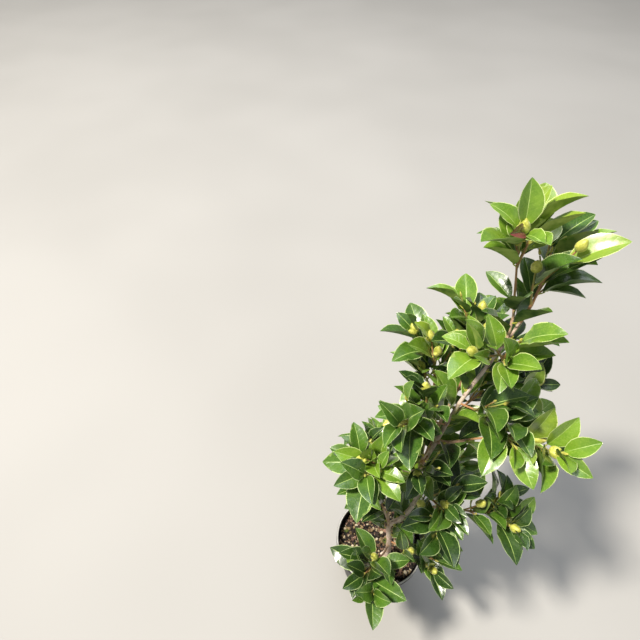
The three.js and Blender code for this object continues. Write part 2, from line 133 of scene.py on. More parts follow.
NODE_BUD_LEAN, BARE_BUD_LEAN = 0.7, 0.8  # how far they turn from the stem towards the leaf
LIMB_SINKS = (0.6, 0.4)  # how far a stalk and a bud on a limb start inside its bark
NEARLY_NONE = 1e-9
HIDING_COUNTS_AS = 100  # crossed faces that a leaf over the bare stem is as bad as

# Where the photograph shows the bare stem: no leaf stands between these stretches and its camera
CAMERA_PLACE: Triple = (-115.0, -235.0, 810.0)
SIGHT_STEPS = 150
BARE_STRETCHES = {"trunk": ((0.0, 0.31), (0.36, 0.47), (0.6, 1.0)), "left_bough": ((0.0, 1.0),)}


# Small sums with places, in double precision so that the growth comes out as in the part
def plus(place: Triple, step: Triple, share: float = 1.0) -> Triple:
    """The place moved by a share of a step."""
    return (place[0] + step[0] * share, place[1] + step[1] * share, place[2] + step[2] * share)


def minus(end: Triple, start: Triple) -> Triple:
    """The step from start to end."""
    return (end[0] - start[0], end[1] - start[1], end[2] - start[2])


def scaled(step: Triple, size: float) -> Triple:
    """The step made longer or shorter."""
    return (step[0] * size, step[1] * size, step[2] * size)


def dot(one: Triple, other: Triple) -> float:
    """The dot product."""
    return one[0] * other[0] + one[1] * other[1] + one[2] * other[2]


def cross(one: Triple, other: Triple) -> Triple:
    """The cross product.

    Args:
        one: The first step.
        other: The second.

    Returns:
        The step square to both.
    """
    return (
        one[1] * other[2] - one[2] * other[1],
        one[2] * other[0] - one[0] * other[2],
        one[0] * other[1] - one[1] * other[0],
    )


def unit(step: Triple) -> Triple:
    """The step at length one."""
    return scaled(step, 1.0 / (sqrt(dot(step, step)) or 1.0))


def apart(one: Triple, other: Triple) -> float:
    """The distance between two places."""
    step = minus(one, other)
    return sqrt(dot(step, step))


def mixed(low: float, high: float, share: float) -> float:
    """The number a share of the way from low to high."""
    return low + (high - low) * share


def cross_axes(axis: Triple) -> tuple[Triple, Triple]:
    """Two directions square to an axis and to each other.

    Args:
        axis: A direction of length one.

    Returns:
        The two directions, so that first, axis and second are right-handed.
    """
    helper = UP if abs(axis[1]) > 0.95 else ACROSS
    first = unit(cross(axis, helper))
    return first, unit(cross(first, axis))


def sideways(axis: Triple, turn: float) -> Triple:
    """The direction square to an axis at a turn round it."""
    first, second = cross_axes(axis)
    return plus(scaled(first, cos(turn)), second, sin(turn))


def around(turn: float, radius: float, height: float = 0.0) -> Triple:
    """The place at a turn and a radius round the upright axis."""
    return (radius * cos(turn), radius * sin(turn), height)


def over_pot(place: Triple) -> bool:
    """True where a place is clear of the soil and of the pot's rim."""
    beyond_rim = hypot(place[0], place[1]) > POT_RIM_RADIUS - 2 * POT_CLEARANCE
    return place[2] >= (POT_HEIGHT if beyond_rim else SOIL_TOP) + POT_CLEARANCE


def meets(start: Triple, end: Triple, face: Sequence[Triple]) -> bool:
    """True where the line from start to end goes through a triangle.

    Args:
        start: One end of the line.
        end: The other end.
        face: The triangle's three corners.

    Returns:
        Whether they meet.
    """
    line = minus(end, start)
    edge = minus(face[1], face[0])
    other_edge = minus(face[2], face[0])
    slant = cross(line, other_edge)
    size = dot(edge, slant)
    if abs(size) < NEARLY_NONE:
        return False
    offset = minus(start, face[0])
    first = dot(offset, slant) / size
    turned = cross(offset, edge)
    second = dot(line, turned) / size
    along = dot(other_edge, turned) / size
    return first >= 0 and second >= 0 and first + second <= 1 and 0 <= along <= 1


@dataclass
class Chance:
    """Repeatable chance: the same run of numbers for the same seed."""

    state: int

    def next(self) -> float:
        """The next number, from 0 up to 1."""
        self.state = (self.state * 1664525 + 1013904223) % 4294967296
        return self.state / 4294967296

    def between(self, low: float, high: float) -> float:
        """The next number, from low up to high."""
        return low + (high - low) * self.next()


@dataclass
class Limb:
    """Trunk or bough: one tapering stem through a few given points."""

    name: str
    points: list[Triple]
    root_radius: float
    tip_radius: float
    samples: np.ndarray = field(init=False, repr=False)
    sample_radii: np.ndarray = field(init=False, repr=False)

    STEPS_FOR_DISTANCE = 48

    def __post_init__(self) -> None:
        """Works out the places that distances are measured from."""
        shares = [i / self.STEPS_FOR_DISTANCE for i in range(self.STEPS_FOR_DISTANCE + 1)]
        self.samples = np.array([self.point_at(t) for t in shares])
        self.sample_radii = np.array([self.radius_at(t) for t in shares])

    @property
    def length(self) -> float:
        """The length along the middle of the limb."""
        return float(np.linalg.norm(np.diff(self.samples, axis=0), axis=1).sum())

    def point_at(self, t: float) -> Triple:
        """The middle of the limb at a share of its points: a smooth curve through them.

        Args:
            t: The share.

        Returns:
            The place.
        """
        last = len(self.points) - 1
        whole = min(int(last * t), last - 1)
        share = last * t - whole
        near, far = self.points[whole], self.points[whole + 1]
        before = self.points[whole - 1] if whole > 0 else plus(near, minus(near, far))
        after = self.points[whole + 2] if whole + 2 <= last else plus(far, minus(far, near))
        place = []
        for a, b, c, d in zip(before, near, far, after):
            leave, arrive = 0.5 * (c - a), 0.5 * (d - b)
            square = -3 * b + 3 * c - 2 * leave - arrive
            cube = 2 * b - 2 * c + leave + arrive
            place.append(b + leave * share + square * share * share + cube * share * share * share)
        return (place[0], place[1], place[2])

    def tangent_at(self, t: float) -> Triple:
        """The way the limb runs at a share of its points."""
        return unit(minus(self.point_at(min(1.0, t + 0.0001)), self.point_at(max(0.0, t - 0.0001))))

    def radius_at(self, t: float) -> float:
        """The limb's radius at a share of its points."""
        return self.root_radius + (self.tip_radius - self.root_radius) * t

    def tip_direction(self) -> Triple:
        """The way the limb's tip points."""
        return unit(minus(self.points[-1], self.points[-2]))


@dataclass
class Twig:
    """A twig that leaves its parent along one direction and turns to another."""

    start: Triple
    leaving: Triple
    towards: Triple
    length: float
    root_radius: float
    inside: Triple | None = None  # the middle of its parent, where its mesh begins
    order: int = 0  # 0 the stem of a mass, 1 its side twigs, 2 spurs

    @property
    def bend(self) -> Triple:
        """The corner that the curve rounds."""
        return plus(self.start, self.leaving, self.length * BEND_AT)

    @property
    def end(self) -> Triple:
        """The twig's tip."""
        return plus(self.bend, self.towards, self.length * BEND_REACH)

    def point_at(self, t: float) -> Triple:
        """The middle of the twig at a share of it."""
        place = scaled(self.start, (1 - t) * (1 - t))
        return plus(plus(place, self.bend, 2 * (1 - t) * t), self.end, t * t)

    def tangent_at(self, t: float) -> Triple:
        """The way the twig runs at a share of it."""
        return unit(plus(scaled(minus(self.bend, self.start), 1 - t), minus(self.end, self.bend), t))

    def radius_at(self, t: float) -> float:
        """The twig's radius at a share of it."""
        return self.root_radius + (TWIG_TIP_RADIUS - self.root_radius) * t

    def root_at(self, t: float) -> Triple:
        """The place on the two straight stretches that the part's twig is made of.

        Args:
            t: The share.

        Returns:
            The place.
        """
        middle = self.point_at(0.5)
        if t < 0.5:
            return plus(self.start, minus(middle, self.start), 2 * t)
        return plus(middle, minus(self.end, middle), 2 * t - 1)


class Leaf:
    """A leaf: its root, the way it points, the way its glossy face looks, and its length."""

    def __init__(self, root: Triple, along: Triple, face: Triple, length: float) -> None:
        """Works out the leaf's outline once, because many leaves are tried against it.

        Args:
            root: Where its stalk ends.
            along: The way it points.
            face: The way its glossy face looks.
            length: Its length.
        """
        self.root, self.along, self.face, self.length = root, along, face, length
        self.side = unit(cross(face, along))
        self.joint = root  # where the stalk leaves the twig
        self.share = 0.5  # how near the twig's tip it grows
        self.middle = [self.place(share, 0, 0) for share in (0.3, 0.5, 0.7, 0.9)]
        lift = LEAF_FOLD_SHARE * length * BLADE_MARGIN
        near, tip = self.place(BLADE_STARTS_AT, 0, 0), self.place(1, 0, 0)
        wides = [self.place(LEAF_WIDEST_AT, across * BLADE_MARGIN, lift) for across in (-1, 1)]
        self.halves = [(near, tip, wide) for wide in wides]

    @classmethod
    def grown(
        cls, root: Triple, axis: Triple, side: Triple, lean: float, roll: float, length: float
    ) -> "Leaf":
        """A leaf that leaves its stem and turns its glossy face to the light.

        Args:
            root: Where it grows.
            axis: The way its stem runs.
            side: The side of the stem that it grows on.
            lean: The angle between it and the stem.
            roll: How far it leans to one side.
            length: Its length.

        Returns:
            The leaf.
        """
        along = plus(scaled(axis, cos(lean)), side, sin(lean))
        along = unit(plus(along, UP, LEAF_RISE))
        face = plus(scaled(UP, 0.75), axis, 0.55)
        face = plus(face, cross(along, UP), roll)
        return cls(root, along, unit(plus(face, along, -dot(face, along))), length)

    def place(self, share: float, across: float, height: float) -> Triple:
        """A place on the leaf.

        Args:
            share: Share of its length.
            across: Share of its half width.
            height: Millimetres over its face.

        Returns:
            The place.
        """
        place = plus(self.root, self.along, share * self.length)
        place = plus(place, self.side, across * self.length * LEAF_WIDTH_SHARE / 2)
        return plus(place, self.face, height)

    def turned(self, roll: float, pitch: float, yaw: float, size: float, slide: float) -> "Leaf":
        """The leaf turned about its root.

        Args:
            roll: How far it leans to one side, in radians.
            pitch: How far it lifts.
            yaw: How far it swings aside.
            size: Its size beside its old one.
            slide: How much longer its stalk gets, in millimetres.

        Returns:
            The turned leaf, on the same joint.
        """
        along = unit(plus(plus(self.along, self.face, tan(pitch)), self.side, tan(yaw)))
        face = plus(self.face, self.side, tan(roll))
        face = unit(plus(face, along, -dot(face, along)))
        leaf = Leaf(plus(self.root, along, slide), along, face, self.length * size)
        leaf.joint, leaf.share = self.joint, self.share
        return leaf

    def outline(self) -> list[Triple]:
        """Places all over the blade.

        Returns:
            The places.
        """
        return [
            self.place(share, across * sin(pi * share), 0)
            for share in (0.2, 0.35, 0.5, 0.65, 0.8, 1)
            for across in (-1, -0.5, 0, 0.5, 1)
        ]

    def corners(self) -> list[Triple]:
        """The root, the tip and the two ends of the widest line.

        Returns:
            The four places.
        """
        lift = LEAF_FOLD_SHARE * self.length
        wides = [self.place(LEAF_WIDEST_AT, across, lift) for across in (1, -1)]
        return [self.root, self.place(1, 0, 0), *wides]

    def crosses(self, other: "Leaf") -> bool:
        """True where the two blades, a little widened, go through each other.

        Args:
            other: The other leaf.

        Returns:
            Whether they do.
        """
        for own, others in ((self.halves, other.halves), (other.halves, self.halves)):
            for near, tip, wide in own:
                for face in others:
                    if meets(near, tip, face) or meets(near, wide, face) or meets(wide, tip, face):
                        return True
        return False

    def pierced(self, twig: Twig) -> bool:
        """True where a twig goes through the blade."""
        stops = [twig.point_at(t) for t in (0, 0.25, 0.5, 0.75, 1)]
        return any(meets(a, b, half) for half in self.halves for a, b in zip(stops, stops[1:]))

    def crowds(self, other: "Leaf") -> bool:
        """True where the other leaf is too near or in the way.

        Args:
            other: The other leaf.

        Returns:
            Whether it is.
        """
        reach = 0.6 * (self.length + other.length) + LEAF_CLEARANCE
        if apart(self.middle[1], other.middle[1]) > reach:
            return False
        near = any(apart(a, b) < LEAF_CLEARANCE for a in self.middle for b in other.middle)
        return near or self.crosses(other)


class BudKind(Enum):
    """The two kinds of bud."""

    FLOWER = "flower"
    GROWTH = "growth"


@dataclass(frozen=True)
class Bud:
    """A bud: its root, the way it points, its length, its width and its kind."""

    root: Triple
    along: Triple
    length: float
    width: float
    kind: BudKind


@dataclass
class Spray:
    """One twig with its own leaves: the unit that a tint is dealt to."""

    twig: Twig | Limb
    leaves: list[Leaf] = field(default_factory=list)
    tint: "Tint | None" = None


class Foliage:
    """A mass of foliage: twigs that branch by a seeded rule from one stem, with leaves and buds."""

    TURNS = (0, 0.6, -0.6, 1.2, -1.2, 2, -2, 2.8)

    def __init__(
        self, name: str, limb: Limb, at: float, towards: Triple, length: float, twigs: int, seed: int
    ) -> None:
        """Sets the stem.

        Args:
            name: The mass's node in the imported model.
            limb: What carries it.
            at: The share of the limb where its stem starts; 1 is the tip.
            towards: The way the stem grows.
            length: The stem's length.
            twigs: How many side twigs it may have.
            seed: The seed of its chance.
        """
        self.crown: Crown  # set by the crown, once it has all its masses
        self.name, self.twig_count, self.seed = name, twigs, seed
        self.chance = Chance(seed)
        self.on_tip = at == 1
        towards = unit(towards)
        leaving = limb.tip_direction() if self.on_tip else towards
        start = plus(limb.point_at(at), leaving, GAP) if self.on_tip else limb.point_at(at)
        radius = limb.tip_radius if self.on_tip else TWIG_ROOT_RADIUS
        self.stem = Twig(start, leaving, towards, length, radius)
        self.stem.inside = plus(start, leaving, -STEM_SINK) if self.on_tip else None
        self.centre = self.stem.point_at(0.7)
        self.sprays = [Spray(self.stem)]
        self.buds: list[Bud] = []

    @property
    def leaves(self) -> list[Leaf]:
        """All the leaves of the mass."""
        return [leaf for spray in self.sprays for leaf in spray.leaves]

    def holds(self, place: Triple) -> bool:
        """True where a place lies inside this mass's own space.

        Args:
            place: The place.

        Returns:
            Whether it does.
        """
        own = apart(place, self.centre)
        if own > MASS_REACH or not over_pot(place):
            return False
        others = (mass for mass in self.crown.masses if mass is not self)
        return all(own + SPACE_CLEARANCE < apart(place, mass.centre) for mass in others)

    def grow(self) -> None:
        """Grows the side twigs, then the leaves of each twig in turn."""
        for index in range(self.twig_count):
            self.add_twig(index)
        for spray in self.sprays:
            self.add_leaves(spray)

    def add_twig(self, index: int) -> None:
        """Adds a side twig, turned until it fits, or leaves it out.

        Args:
            index: Which of the side twigs.
        """
        along = SIDE_TWIGS_FROM + (SIDE_TWIGS_OVER * (index + self.chance.next())) / self.twig_count
        turn = index * GOLDEN_TURN + self.chance.between(-0.5, 0.5)
        length = self.chance.between(*TWIG_LENGTH)
        lean = self.chance.between(*TWIG_LEAN)
        self.try_twig(self.stem, along, turn, length, lean, TWIG_ROOT_RADIUS * 0.9)

    def try_twig(
        self, parent: Twig, at: float, turn: float, length: float, lean: float, radius: float
    ) -> bool:
        """Adds a twig to a parent, turned until it fits.

        Args:
            parent: The twig that it leaves.
            at: The share of the parent where it starts.
            turn: Its turn round the parent.
            length: Its length.
            lean: The angle between it and its parent.
            radius: Its radius at its root.

        Returns:
            Whether it found room.
        """
        root, axis = parent.root_at(at), parent.tangent_at(at)
        for extra in self.TURNS:
            side = sideways(axis, turn + extra)
            leaving = plus(scaled(axis, cos(lean)), side, sin(lean))
            towards = unit(plus(leaving, UP, TWIG_RISE))
            twig = Twig(root, leaving, towards, length, radius, parent.point_at(at), parent.order + 1)
            places = [twig.point_at(t) for t in (0, 0.35, 0.6, 0.8, 1)]
            if all(map(self.holds, places)) and self.crown.clear_of_limbs(places):
                standing = [*self.leaves, *self.crown.limb_leaves]
                if twig.order == 1 or not any(leaf.pierced(twig) for leaf in standing):
                    self.sprays.append(Spray(twig))
                    return True
        return False

    def add_leaves(self, spray: Spray) -> None:
        """Adds a twig's leaves, closer towards its tip, and sometimes a flower bud on the end.

        Args:
            spray: The twig that gets them.
        """
        twig, first = spray.twig, LEAVES_START_AT
        count = int((twig.length * (1 - first)) / LEAF_SPACING + 0.5) + 1
        turn = self.chance.between(0, 2 * pi)
        for i in range(count):
            t = first + (0.99 - first) * ((i + 0.5) / count) ** 0.75
            turn += GOLDEN_TURN
            self.add_leaf(spray, t, turn, 1.0)
        if self.chance.next() < FLOWERING_SHARE:
            self.add_flower_bud(twig.point_at(1), twig.tangent_at(1))

    def add_flower_bud(self, root: Triple, along: Triple) -> None:
        """Adds a flower bud of the full size."""
        self.buds.append(Bud(root, along, FLOWER_BUD_LENGTH, FLOWER_BUD_WIDTH, BudKind.FLOWER))

    def add_leaf(self, spray: Spray, t: float, turn: float, scale: float) -> None:
        """Adds a leaf, turned until it fits, or leaves it out.

        Args:
            spray: The twig that it grows on, with its leaves so far.
            t: The share of the twig where it grows.
            turn: Its turn round the twig.
            scale: Its size beside a full leaf.
        """
        twig = spray.twig
        root, axis = twig.root_at(t), twig.tangent_at(t)
        lean = mixed(*LEAF_LEAN, t) + self.chance.between(-LEAF_SPREAD, LEAF_SPREAD)
        grown = LEAF_LEAST + LEAF_SWELL * sin(pi * min(1, t + 0.1))
        grown += self.chance.between(-LEAF_CHANCE, LEAF_CHANCE)
        roll = self.chance.between(*LEAF_ROLL)
        axillary = self.chance.next() < AXILLARY_SHARE and t > 0.5
        for extra in self.TURNS:
            side = sideways(axis, turn + extra)
            leaf = Leaf.grown(root, axis, side, lean, roll, LEAF_LENGTH * grown * scale)
            if self.fits(leaf):
                leaf.joint, leaf.share = twig.point_at(t), t
                spray.leaves.append(leaf)
                if axillary:
                    self.add_flower_bud(root, unit(plus(axis, side, AXILLARY_LEAN)))
                return

    def fits(self, leaf: Leaf) -> bool:
        """True where a leaf keeps to this mass's space and clear of all that grows there.

        Args:
            leaf: The leaf.

        Returns:
            Whether it does.
        """
        if not all(map(self.holds, leaf.corners())):
            return False
        if any(leaf.crowds(other) for other in (*self.leaves, *self.crown.limb_leaves)):
            return False
        if any(leaf.pierced(spray.twig) for spray in self.sprays if isinstance(spray.twig, Twig)):
            return False
        return self.crown.clear_of_limbs(leaf.outline()) and not self.crown.hides_stem(leaf)

    def refine(self) -> None:
        """Carries the growth on: spurs with small leaves, leaves between the leaves, small buds."""
        self.chance = Chance(self.seed + FINER_SEED)
        for spray in [spray for spray in self.sprays if isinstance(spray.twig, Twig)]:
            spurs = 2 if spray.twig.order == 0 else 1
            for index in range(spurs):
                at = self.chance.between(*SPUR_FROM) + SPURS_APART * index
                turn = self.chance.between(0, 2 * pi)
                length = self.chance.between(*SPUR_LENGTH)
                lean = self.chance.between(*SPUR_LEAN)
                if self.try_twig(spray.twig, at, turn, length, lean, TWIG_TIP_RADIUS):
                    for step in range(3):
                        turn += GOLDEN_TURN
                        t = SPUR_LEAVES_FROM + SPUR_LEAVES_APART * step
                        self.add_leaf(self.sprays[-1], t, turn, SPUR_LEAF_SCALE)
            turn = self.chance.between(0, 2 * pi)
            for index in range(3 if spray.twig.order == 0 else 2):
                turn += GOLDEN_TURN
                self.add_leaf(spray, FILL_LEAVES_FROM - FILL_LEAVES_APART * index, turn, FILL_LEAF_SCALE)
        flowers = [bud for bud in self.buds if bud.kind is BudKind.FLOWER]
        flowering = [bud.root for bud in flowers]
        for bud in flowers:
            if self.chance.next() < TWIN_BUD_SHARE:
                side = sideways(bud.along, self.chance.between(0, 2 * pi))
                along = unit(plus(bud.along, side, TWIN_BUD_LEAN))
                size = self.chance.between(*TWIN_BUD_SCALE)
                twin = Bud(bud.root, along, bud.length * size, bud.width * size, BudKind.FLOWER)
                self.buds.append(twin)
        for spray in self.sprays:
            tip = spray.twig.point_at(1)
            if isinstance(spray.twig, Twig) and all(apart(tip, root) > 2 for root in flowering):
                along = spray.twig.tangent_at(1)
                size = self.chance.between(*TIP_BUD)
                self.buds.append(Bud(tip, along, size, TIP_BUD_WIDTH, BudKind.GROWTH))
            for leaf in spray.leaves:
                if self.chance.next() < NODE_BUD_SHARE:
                    along = unit(plus(spray.twig.tangent_at(leaf.share), leaf.along, NODE_BUD_LEAN))
                    size = self.chance.between(*NODE_BUD) + 1.2  # with what hides in the twig
                    self.buds.append(Bud(leaf.joint, along, size, NODE_BUD_WIDTH, BudKind.GROWTH))


# The masses: name, what carries it, where, the way its stem grows, its length, its twigs and its seed
MASSES = (
    ("left_foliage", "left_bough", 1, (-0.5, 0.3, 0.8), 60, 3, 11),
    ("front_foliage", "front_bough", 1, (-0.55, -0.6, 0.6), 56, 3, 12),
    ("rear_low_foliage", "rear_low_bough", 1, (-0.35, 0.7, 0.6), 66, 3, 33),
    ("right_low_foliage", "right_low_bough", 1, (0.8, -0.3, 0.55), 66, 3, 14),
    ("rear_left_foliage", "rear_left_bough", 1, (-0.25, 0.25, 0.9), 92, 4, 15),
    ("left_middle_foliage", "left_middle_bough", 1, (-0.7, -0.2, 0.7), 66, 3, 16),
    ("twin_foliage", "twin_bough", 1, (0.05, 0.45, 0.85), 88, 4, 17),
    ("right_foliage", "right_bough", 1, (0.75, -0.4, 0.5), 66, 3, 18),
    ("shoot_foliage", "tall_shoot", 1, (-0.2, 0.2, 0.95), 66, 3, 19),
    ("leader_foliage", "trunk", 1, (0.05, 0.4, 0.9), 66, 4, 20),
    ("front_right_foliage", "trunk", 0.165, (0.7, -0.5, 0.5), 66, 3, 21),
    ("middle_front_foliage", "trunk", 0.5, (0.2, -0.75, 0.6), 60, 3, 22),
    ("rear_right_foliage", "trunk", 0.43, (0.65, 0.7, 0.3), 72, 3, 43),
    ("upper_left_foliage", "trunk", 0.73, (-0.75, -0.2, 0.65), 60, 3, 24),
    ("upper_right_foliage", "trunk", 0.8, (0.55, -0.7, 0.45), 60, 3, 25),
    ("upper_rear_foliage", "trunk", 0.77, (0.85, 0.5, 0.2), 66, 3, 26),
    ("middle_left_foliage", "trunk", 0.63, (-0.45, -0.65, 0.6), 52, 2, 27),
    ("top_front_foliage", "trunk", 0.93, (-0.3, -0.75, 0.6), 50, 2, 28),
)


class Crown:
    """Trunk, boughs and masses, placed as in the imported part."""

    def __init__(self) -> None:
        """Sets the limbs and the stem of each mass."""
        foot = TRUNK_FOOT
        trunk_points = [
            (*foot, SOIL_TOP + GAP), (*foot, SOIL_TOP + 9), (8.5, -10, 132), (4.5, -3, 170),
            (17, -2.5, 193), (29, 5, 222), (29.5, 11, 258), (24, 13, 292), (33, 21, 343),
            (40.5, 27, 380), (51.5, 35, 418), (70.5, 48.5, 455), (87, 61, 489),
        ]
        self.trunk = Limb("trunk", trunk_points, 3.9, 1.5)
        self.boughs = [
            Limb("left_bough", [(4.5, -3, 171), (-3, 1, 194), (-8, 5, 209)], 1.7, 1.25),
            Limb("front_bough", [(8.9, -11, 124), (0, -25, 133), (-6, -32, 142)], 1.5, 1.15),
            Limb("rear_low_bough", [(5.5, -5, 160), (2, 20, 180), (-4, 36, 197)], 1.7, 1.2),
            Limb("right_low_bough", [(29, 5, 224), (47, -3, 230), (60, -9, 240)], 1.7, 1.2),
            Limb("rear_left_bough", [(29.5, 11, 260), (31, 38, 300), (35, 60, 345)], 2, 1.35),
            Limb("left_middle_bough", [(24, 13, 293), (6, 6, 307), (-6, 1, 322)], 1.6, 1.2),
            Limb("twin_bough", [(24, 13, 297), (35, 33, 345), (49, 49, 398)], 2, 1.4),
            Limb("right_bough", [(33, 21, 345), (48, 14, 357), (60, 10, 369)], 1.6, 1.2),
            Limb("tall_shoot", [(77, 53, 469), (79, 62, 494), (77, 70, 512)], 1.4, 1.15),
        ]
        self.limbs = [self.trunk, *self.boughs]
        self.samples = np.concatenate([limb.samples for limb in self.limbs])
        self.sample_radii = np.concatenate([limb.sample_radii for limb in self.limbs])
        limb = {limb.name: limb for limb in self.limbs}
        self.masses = [Foliage(name, limb[carrier], *rest) for name, carrier, *rest in MASSES]
        for mass in self.masses:
            mass.crown = self
        self.names = [mass.name for mass in self.masses]
        self.sights = np.zeros((0, 3))  # places on the stem that must stay in sight
        self.limb_leaves: list[Leaf] = []

    @property
    def sprays(self) -> list[Spray]:
        """All the sprays of all masses."""
        return [spray for mass in self.masses for spray in mass.sprays]

    @property
    def leaves(self) -> list[Leaf]:
        """All the leaves of all masses."""
        return [leaf for spray in self.sprays for leaf in spray.leaves]

    def clear_of_limbs(self, places: Sequence[Triple]) -> bool:
        """True where each place is further than the clearance from all bark.

        Args:
            places: The places.

        Returns:
            Whether all are.
        """
        steps = np.array(places)[:, None, :] - self.samples[None, :, :]
        gaps = np.sqrt((steps * steps).sum(axis=2)) - self.sample_radii
        return bool(gaps.min() > LIMB_CLEARANCE)

    def grow(self) -> None:
        """Grows every mass as the part does, then carries each on, then sets leaves on the limbs."""
        for mass in self.masses:
            mass.grow()
            counts = (len(mass.leaves), len(mass.sprays), len(mass.buds))
            log.info("%s: %d leaves, %d twigs, %d buds as in the part", mass.name, *counts)
        self.open_stem()
        self.leaf_limbs()
        log.info("%d leaves with those on the limbs", len(self.leaves))
        for mass in self.masses:
            mass.refine()
        log.info("%d leaves in all", len(self.leaves))

    def open_stem(self) -> None:
        """Leaves out each leaf that hides the stem where the photograph shows it bare."""
        sights = []
        for limb in self.limbs:
            for low, high in BARE_STRETCHES.get(limb.name, ()):
                steps = int(SIGHT_STEPS * (high - low) * limb.length / self.trunk.length) + 1
                sights += [limb.point_at(mixed(low, high, i / steps)) for i in range(steps + 1)]
        self.sights = np.array(sights)
        for spray in self.sprays:
            spray.leaves = [leaf for leaf in spray.leaves if not self.hides_stem(leaf)]

    def hides_stem(self, leaf: Leaf) -> bool:
        """True where a leaf stands between the bare stem and the photograph's camera.

        Args:
            leaf: The leaf.

        Returns:
            Whether it does.
        """
        if not len(self.sights):
            return False
        lines = np.array(CAMERA_PLACE) - self.sights
        for half in leaf.halves:
            near, tip, wide = (np.array(corner) for corner in half)
            slants = np.cross(lines, wide - near)
            sizes = slants @ (tip - near)
            sizes[np.abs(sizes) < NEARLY_NONE] = NEARLY_NONE
            offsets = self.sights - near
            turned = np.cross(offsets, tip - near)
            first = (offsets * slants).sum(axis=1) / sizes
            second = (lines * turned).sum(axis=1) / sizes
            along = turned @ (wide - near) / sizes
            inside = (first >= 0) & (second >= 0) & (first + second <= 1)
            if (inside & (along >= 0) & (along <= 1)).any():
                return True
        return False

    def stands_free(self, leaf: Leaf) -> bool:
        """True where a leaf is clear of the pot, of all bark, twigs and leaves, and of the sights.

        Args:
            leaf: The leaf.

        Returns:
            Whether it is.
        """
        if not all(over_pot(place) for place in leaf.corners()) or not self.clear_of_limbs(leaf.outline()):
            return False
        if any(map(leaf.crowds, self.leaves)):
            return False
        twigs = (spray.twig for spray in self.sprays if isinstance(spray.twig, Twig))
        if any(leaf.pierced(twig) for twig in twigs if apart(twig.start, leaf.root) < MASS_REACH):
            return False
        return not self.hides_stem(leaf)

    def leaf_limbs(self) -> None:
        """Sets single leaves on the nodes of trunk and boughs, and small buds where none has room."""
        chance = Chance(FINER_SEED)
        for limb in self.limbs:
            count = int(limb.length / LIMB_LEAF_SPACING)
            sprays = {mass.name: Spray(limb) for mass in self.masses}
            for index in range(count):
                t = (index + 0.6) / count
                middle, axis = limb.point_at(t), limb.tangent_at(t)
                if middle[2] < LIMB_LEAVES_FROM:
                    continue
                near = min(self.masses, key=lambda mass: apart(mass.centre, middle))
                lean, roll = chance.between(*LIMB_LEAF_LEAN), chance.between(*LEAF_ROLL)
                length = LEAF_LENGTH * chance.between(*LIMB_LEAF_SCALE)
                for extra in Foliage.TURNS:
                    side = sideways(axis, index * GOLDEN_TURN + extra)
                    root = plus(middle, side, limb.radius_at(t))
                    leaf = Leaf.grown(root, axis, side, lean, roll, length)
                    if self.stands_free(leaf):
                        joint = plus(middle, side, limb.radius_at(t) - LIMB_SINKS[0])
                        leaf.joint, leaf.share = joint, t
                        sprays[near.name].leaves.append(leaf)
                        self.limb_leaves.append(leaf)
                        if sprays[near.name] not in near.sprays:
                            near.sprays.append(sprays[near.name])
                        break
                else:
                    if chance.next() < BARE_NODE_BUD_SHARE:
                        side = sideways(axis, index * GOLDEN_TURN)
                        root = plus(middle, side, limb.radius_at(t) - LIMB_SINKS[1])
                        along, size = unit(plus(axis, side, BARE_BUD_LEAN)), chance.between(*BARE_BUD)
                        near.buds.append(Bud(root, along, size, BARE_BUD_WIDTH, BudKind.GROWTH))


# Blender helpers
def deselect() -> None:
    """Leaves nothing selected, so that an operator acts only on what is picked next."""
    bpy.ops.object.select_all(action="DESELECT")


def pick(*things: Object) -> None:
    """Selects objects, and nothing else, with the last as the active one.

    Args:
        things: The objects.
    """
    deselect()
    for thing in things:
        thing.select_set(True)
    bpy.context.view_layer.objects.active = things[-1]


@contextmanager
def editing(thing: Object) -> Iterator[None]:
    """Opens one object in edit mode with all of its mesh selected, and closes it again.

    Args:
        thing: The object.

    Returns:
        The stretch that works on it.
    """
    pick(thing)
    bpy.ops.object.mode_set(mode="EDIT")
    bpy.ops.mesh.select_all(action="SELECT")
    yield
    bpy.ops.object.mode_set(mode="OBJECT")


def shown(name: str, data: Any) -> Object:
    """A new object in the scene.

    Args:
        name: Its name.
        data: Its mesh, lamp or camera.

    Returns:
        The object.
    """
    thing = bpy.data.objects.new(name, data)
    bpy.context.scene.collection.objects.link(thing)
    return thing


def named(name: str) -> Object:
    """Names the object that the last operator added, and its mesh.

    Args:
        name: The name.

    Returns:
        The object.
    """
    thing = bpy.context.active_object
    thing.name = thing.data.name = name
    return thing


def joined(parts: Sequence[Object], name: str) -> Object:
    """Joins objects into the last of them.

    Args:
        parts: The objects.
        name: What the one object is called.

    Returns:
        The one object.
    """
    pick(*parts)
    bpy.ops.object.join()
    return named(name)


def apply_modifier(thing: Object, kind: str, **settings: Any) -> None:
    """Adds a modifier to an object and applies it.

    Args:
        thing: The object.
        kind: The modifier's type.
        settings: Its settings by name.
    """
    pick(thing)
    modifier = thing.modifiers.new(kind.lower(), kind)
    for name, value in settings.items():
        setattr(modifier, name, value)
    bpy.ops.object.modifier_apply(modifier=modifier.name)


def smooth(thing: Object, degrees: float) -> None:
    """Shades an object smooth, with edges sharper than an angle left crisp."""
    pick(thing)
    bpy.ops.object.shade_smooth_by_angle(angle=radians(degrees))


def on_grid(place: Sequence[float], columns: int, rows: int) -> tuple[int, int]:
    """The column and row of a place on a new grid."""
    return round((place[0] + 1) / 2 * columns), round((place[1] + 1) / 2 * rows)


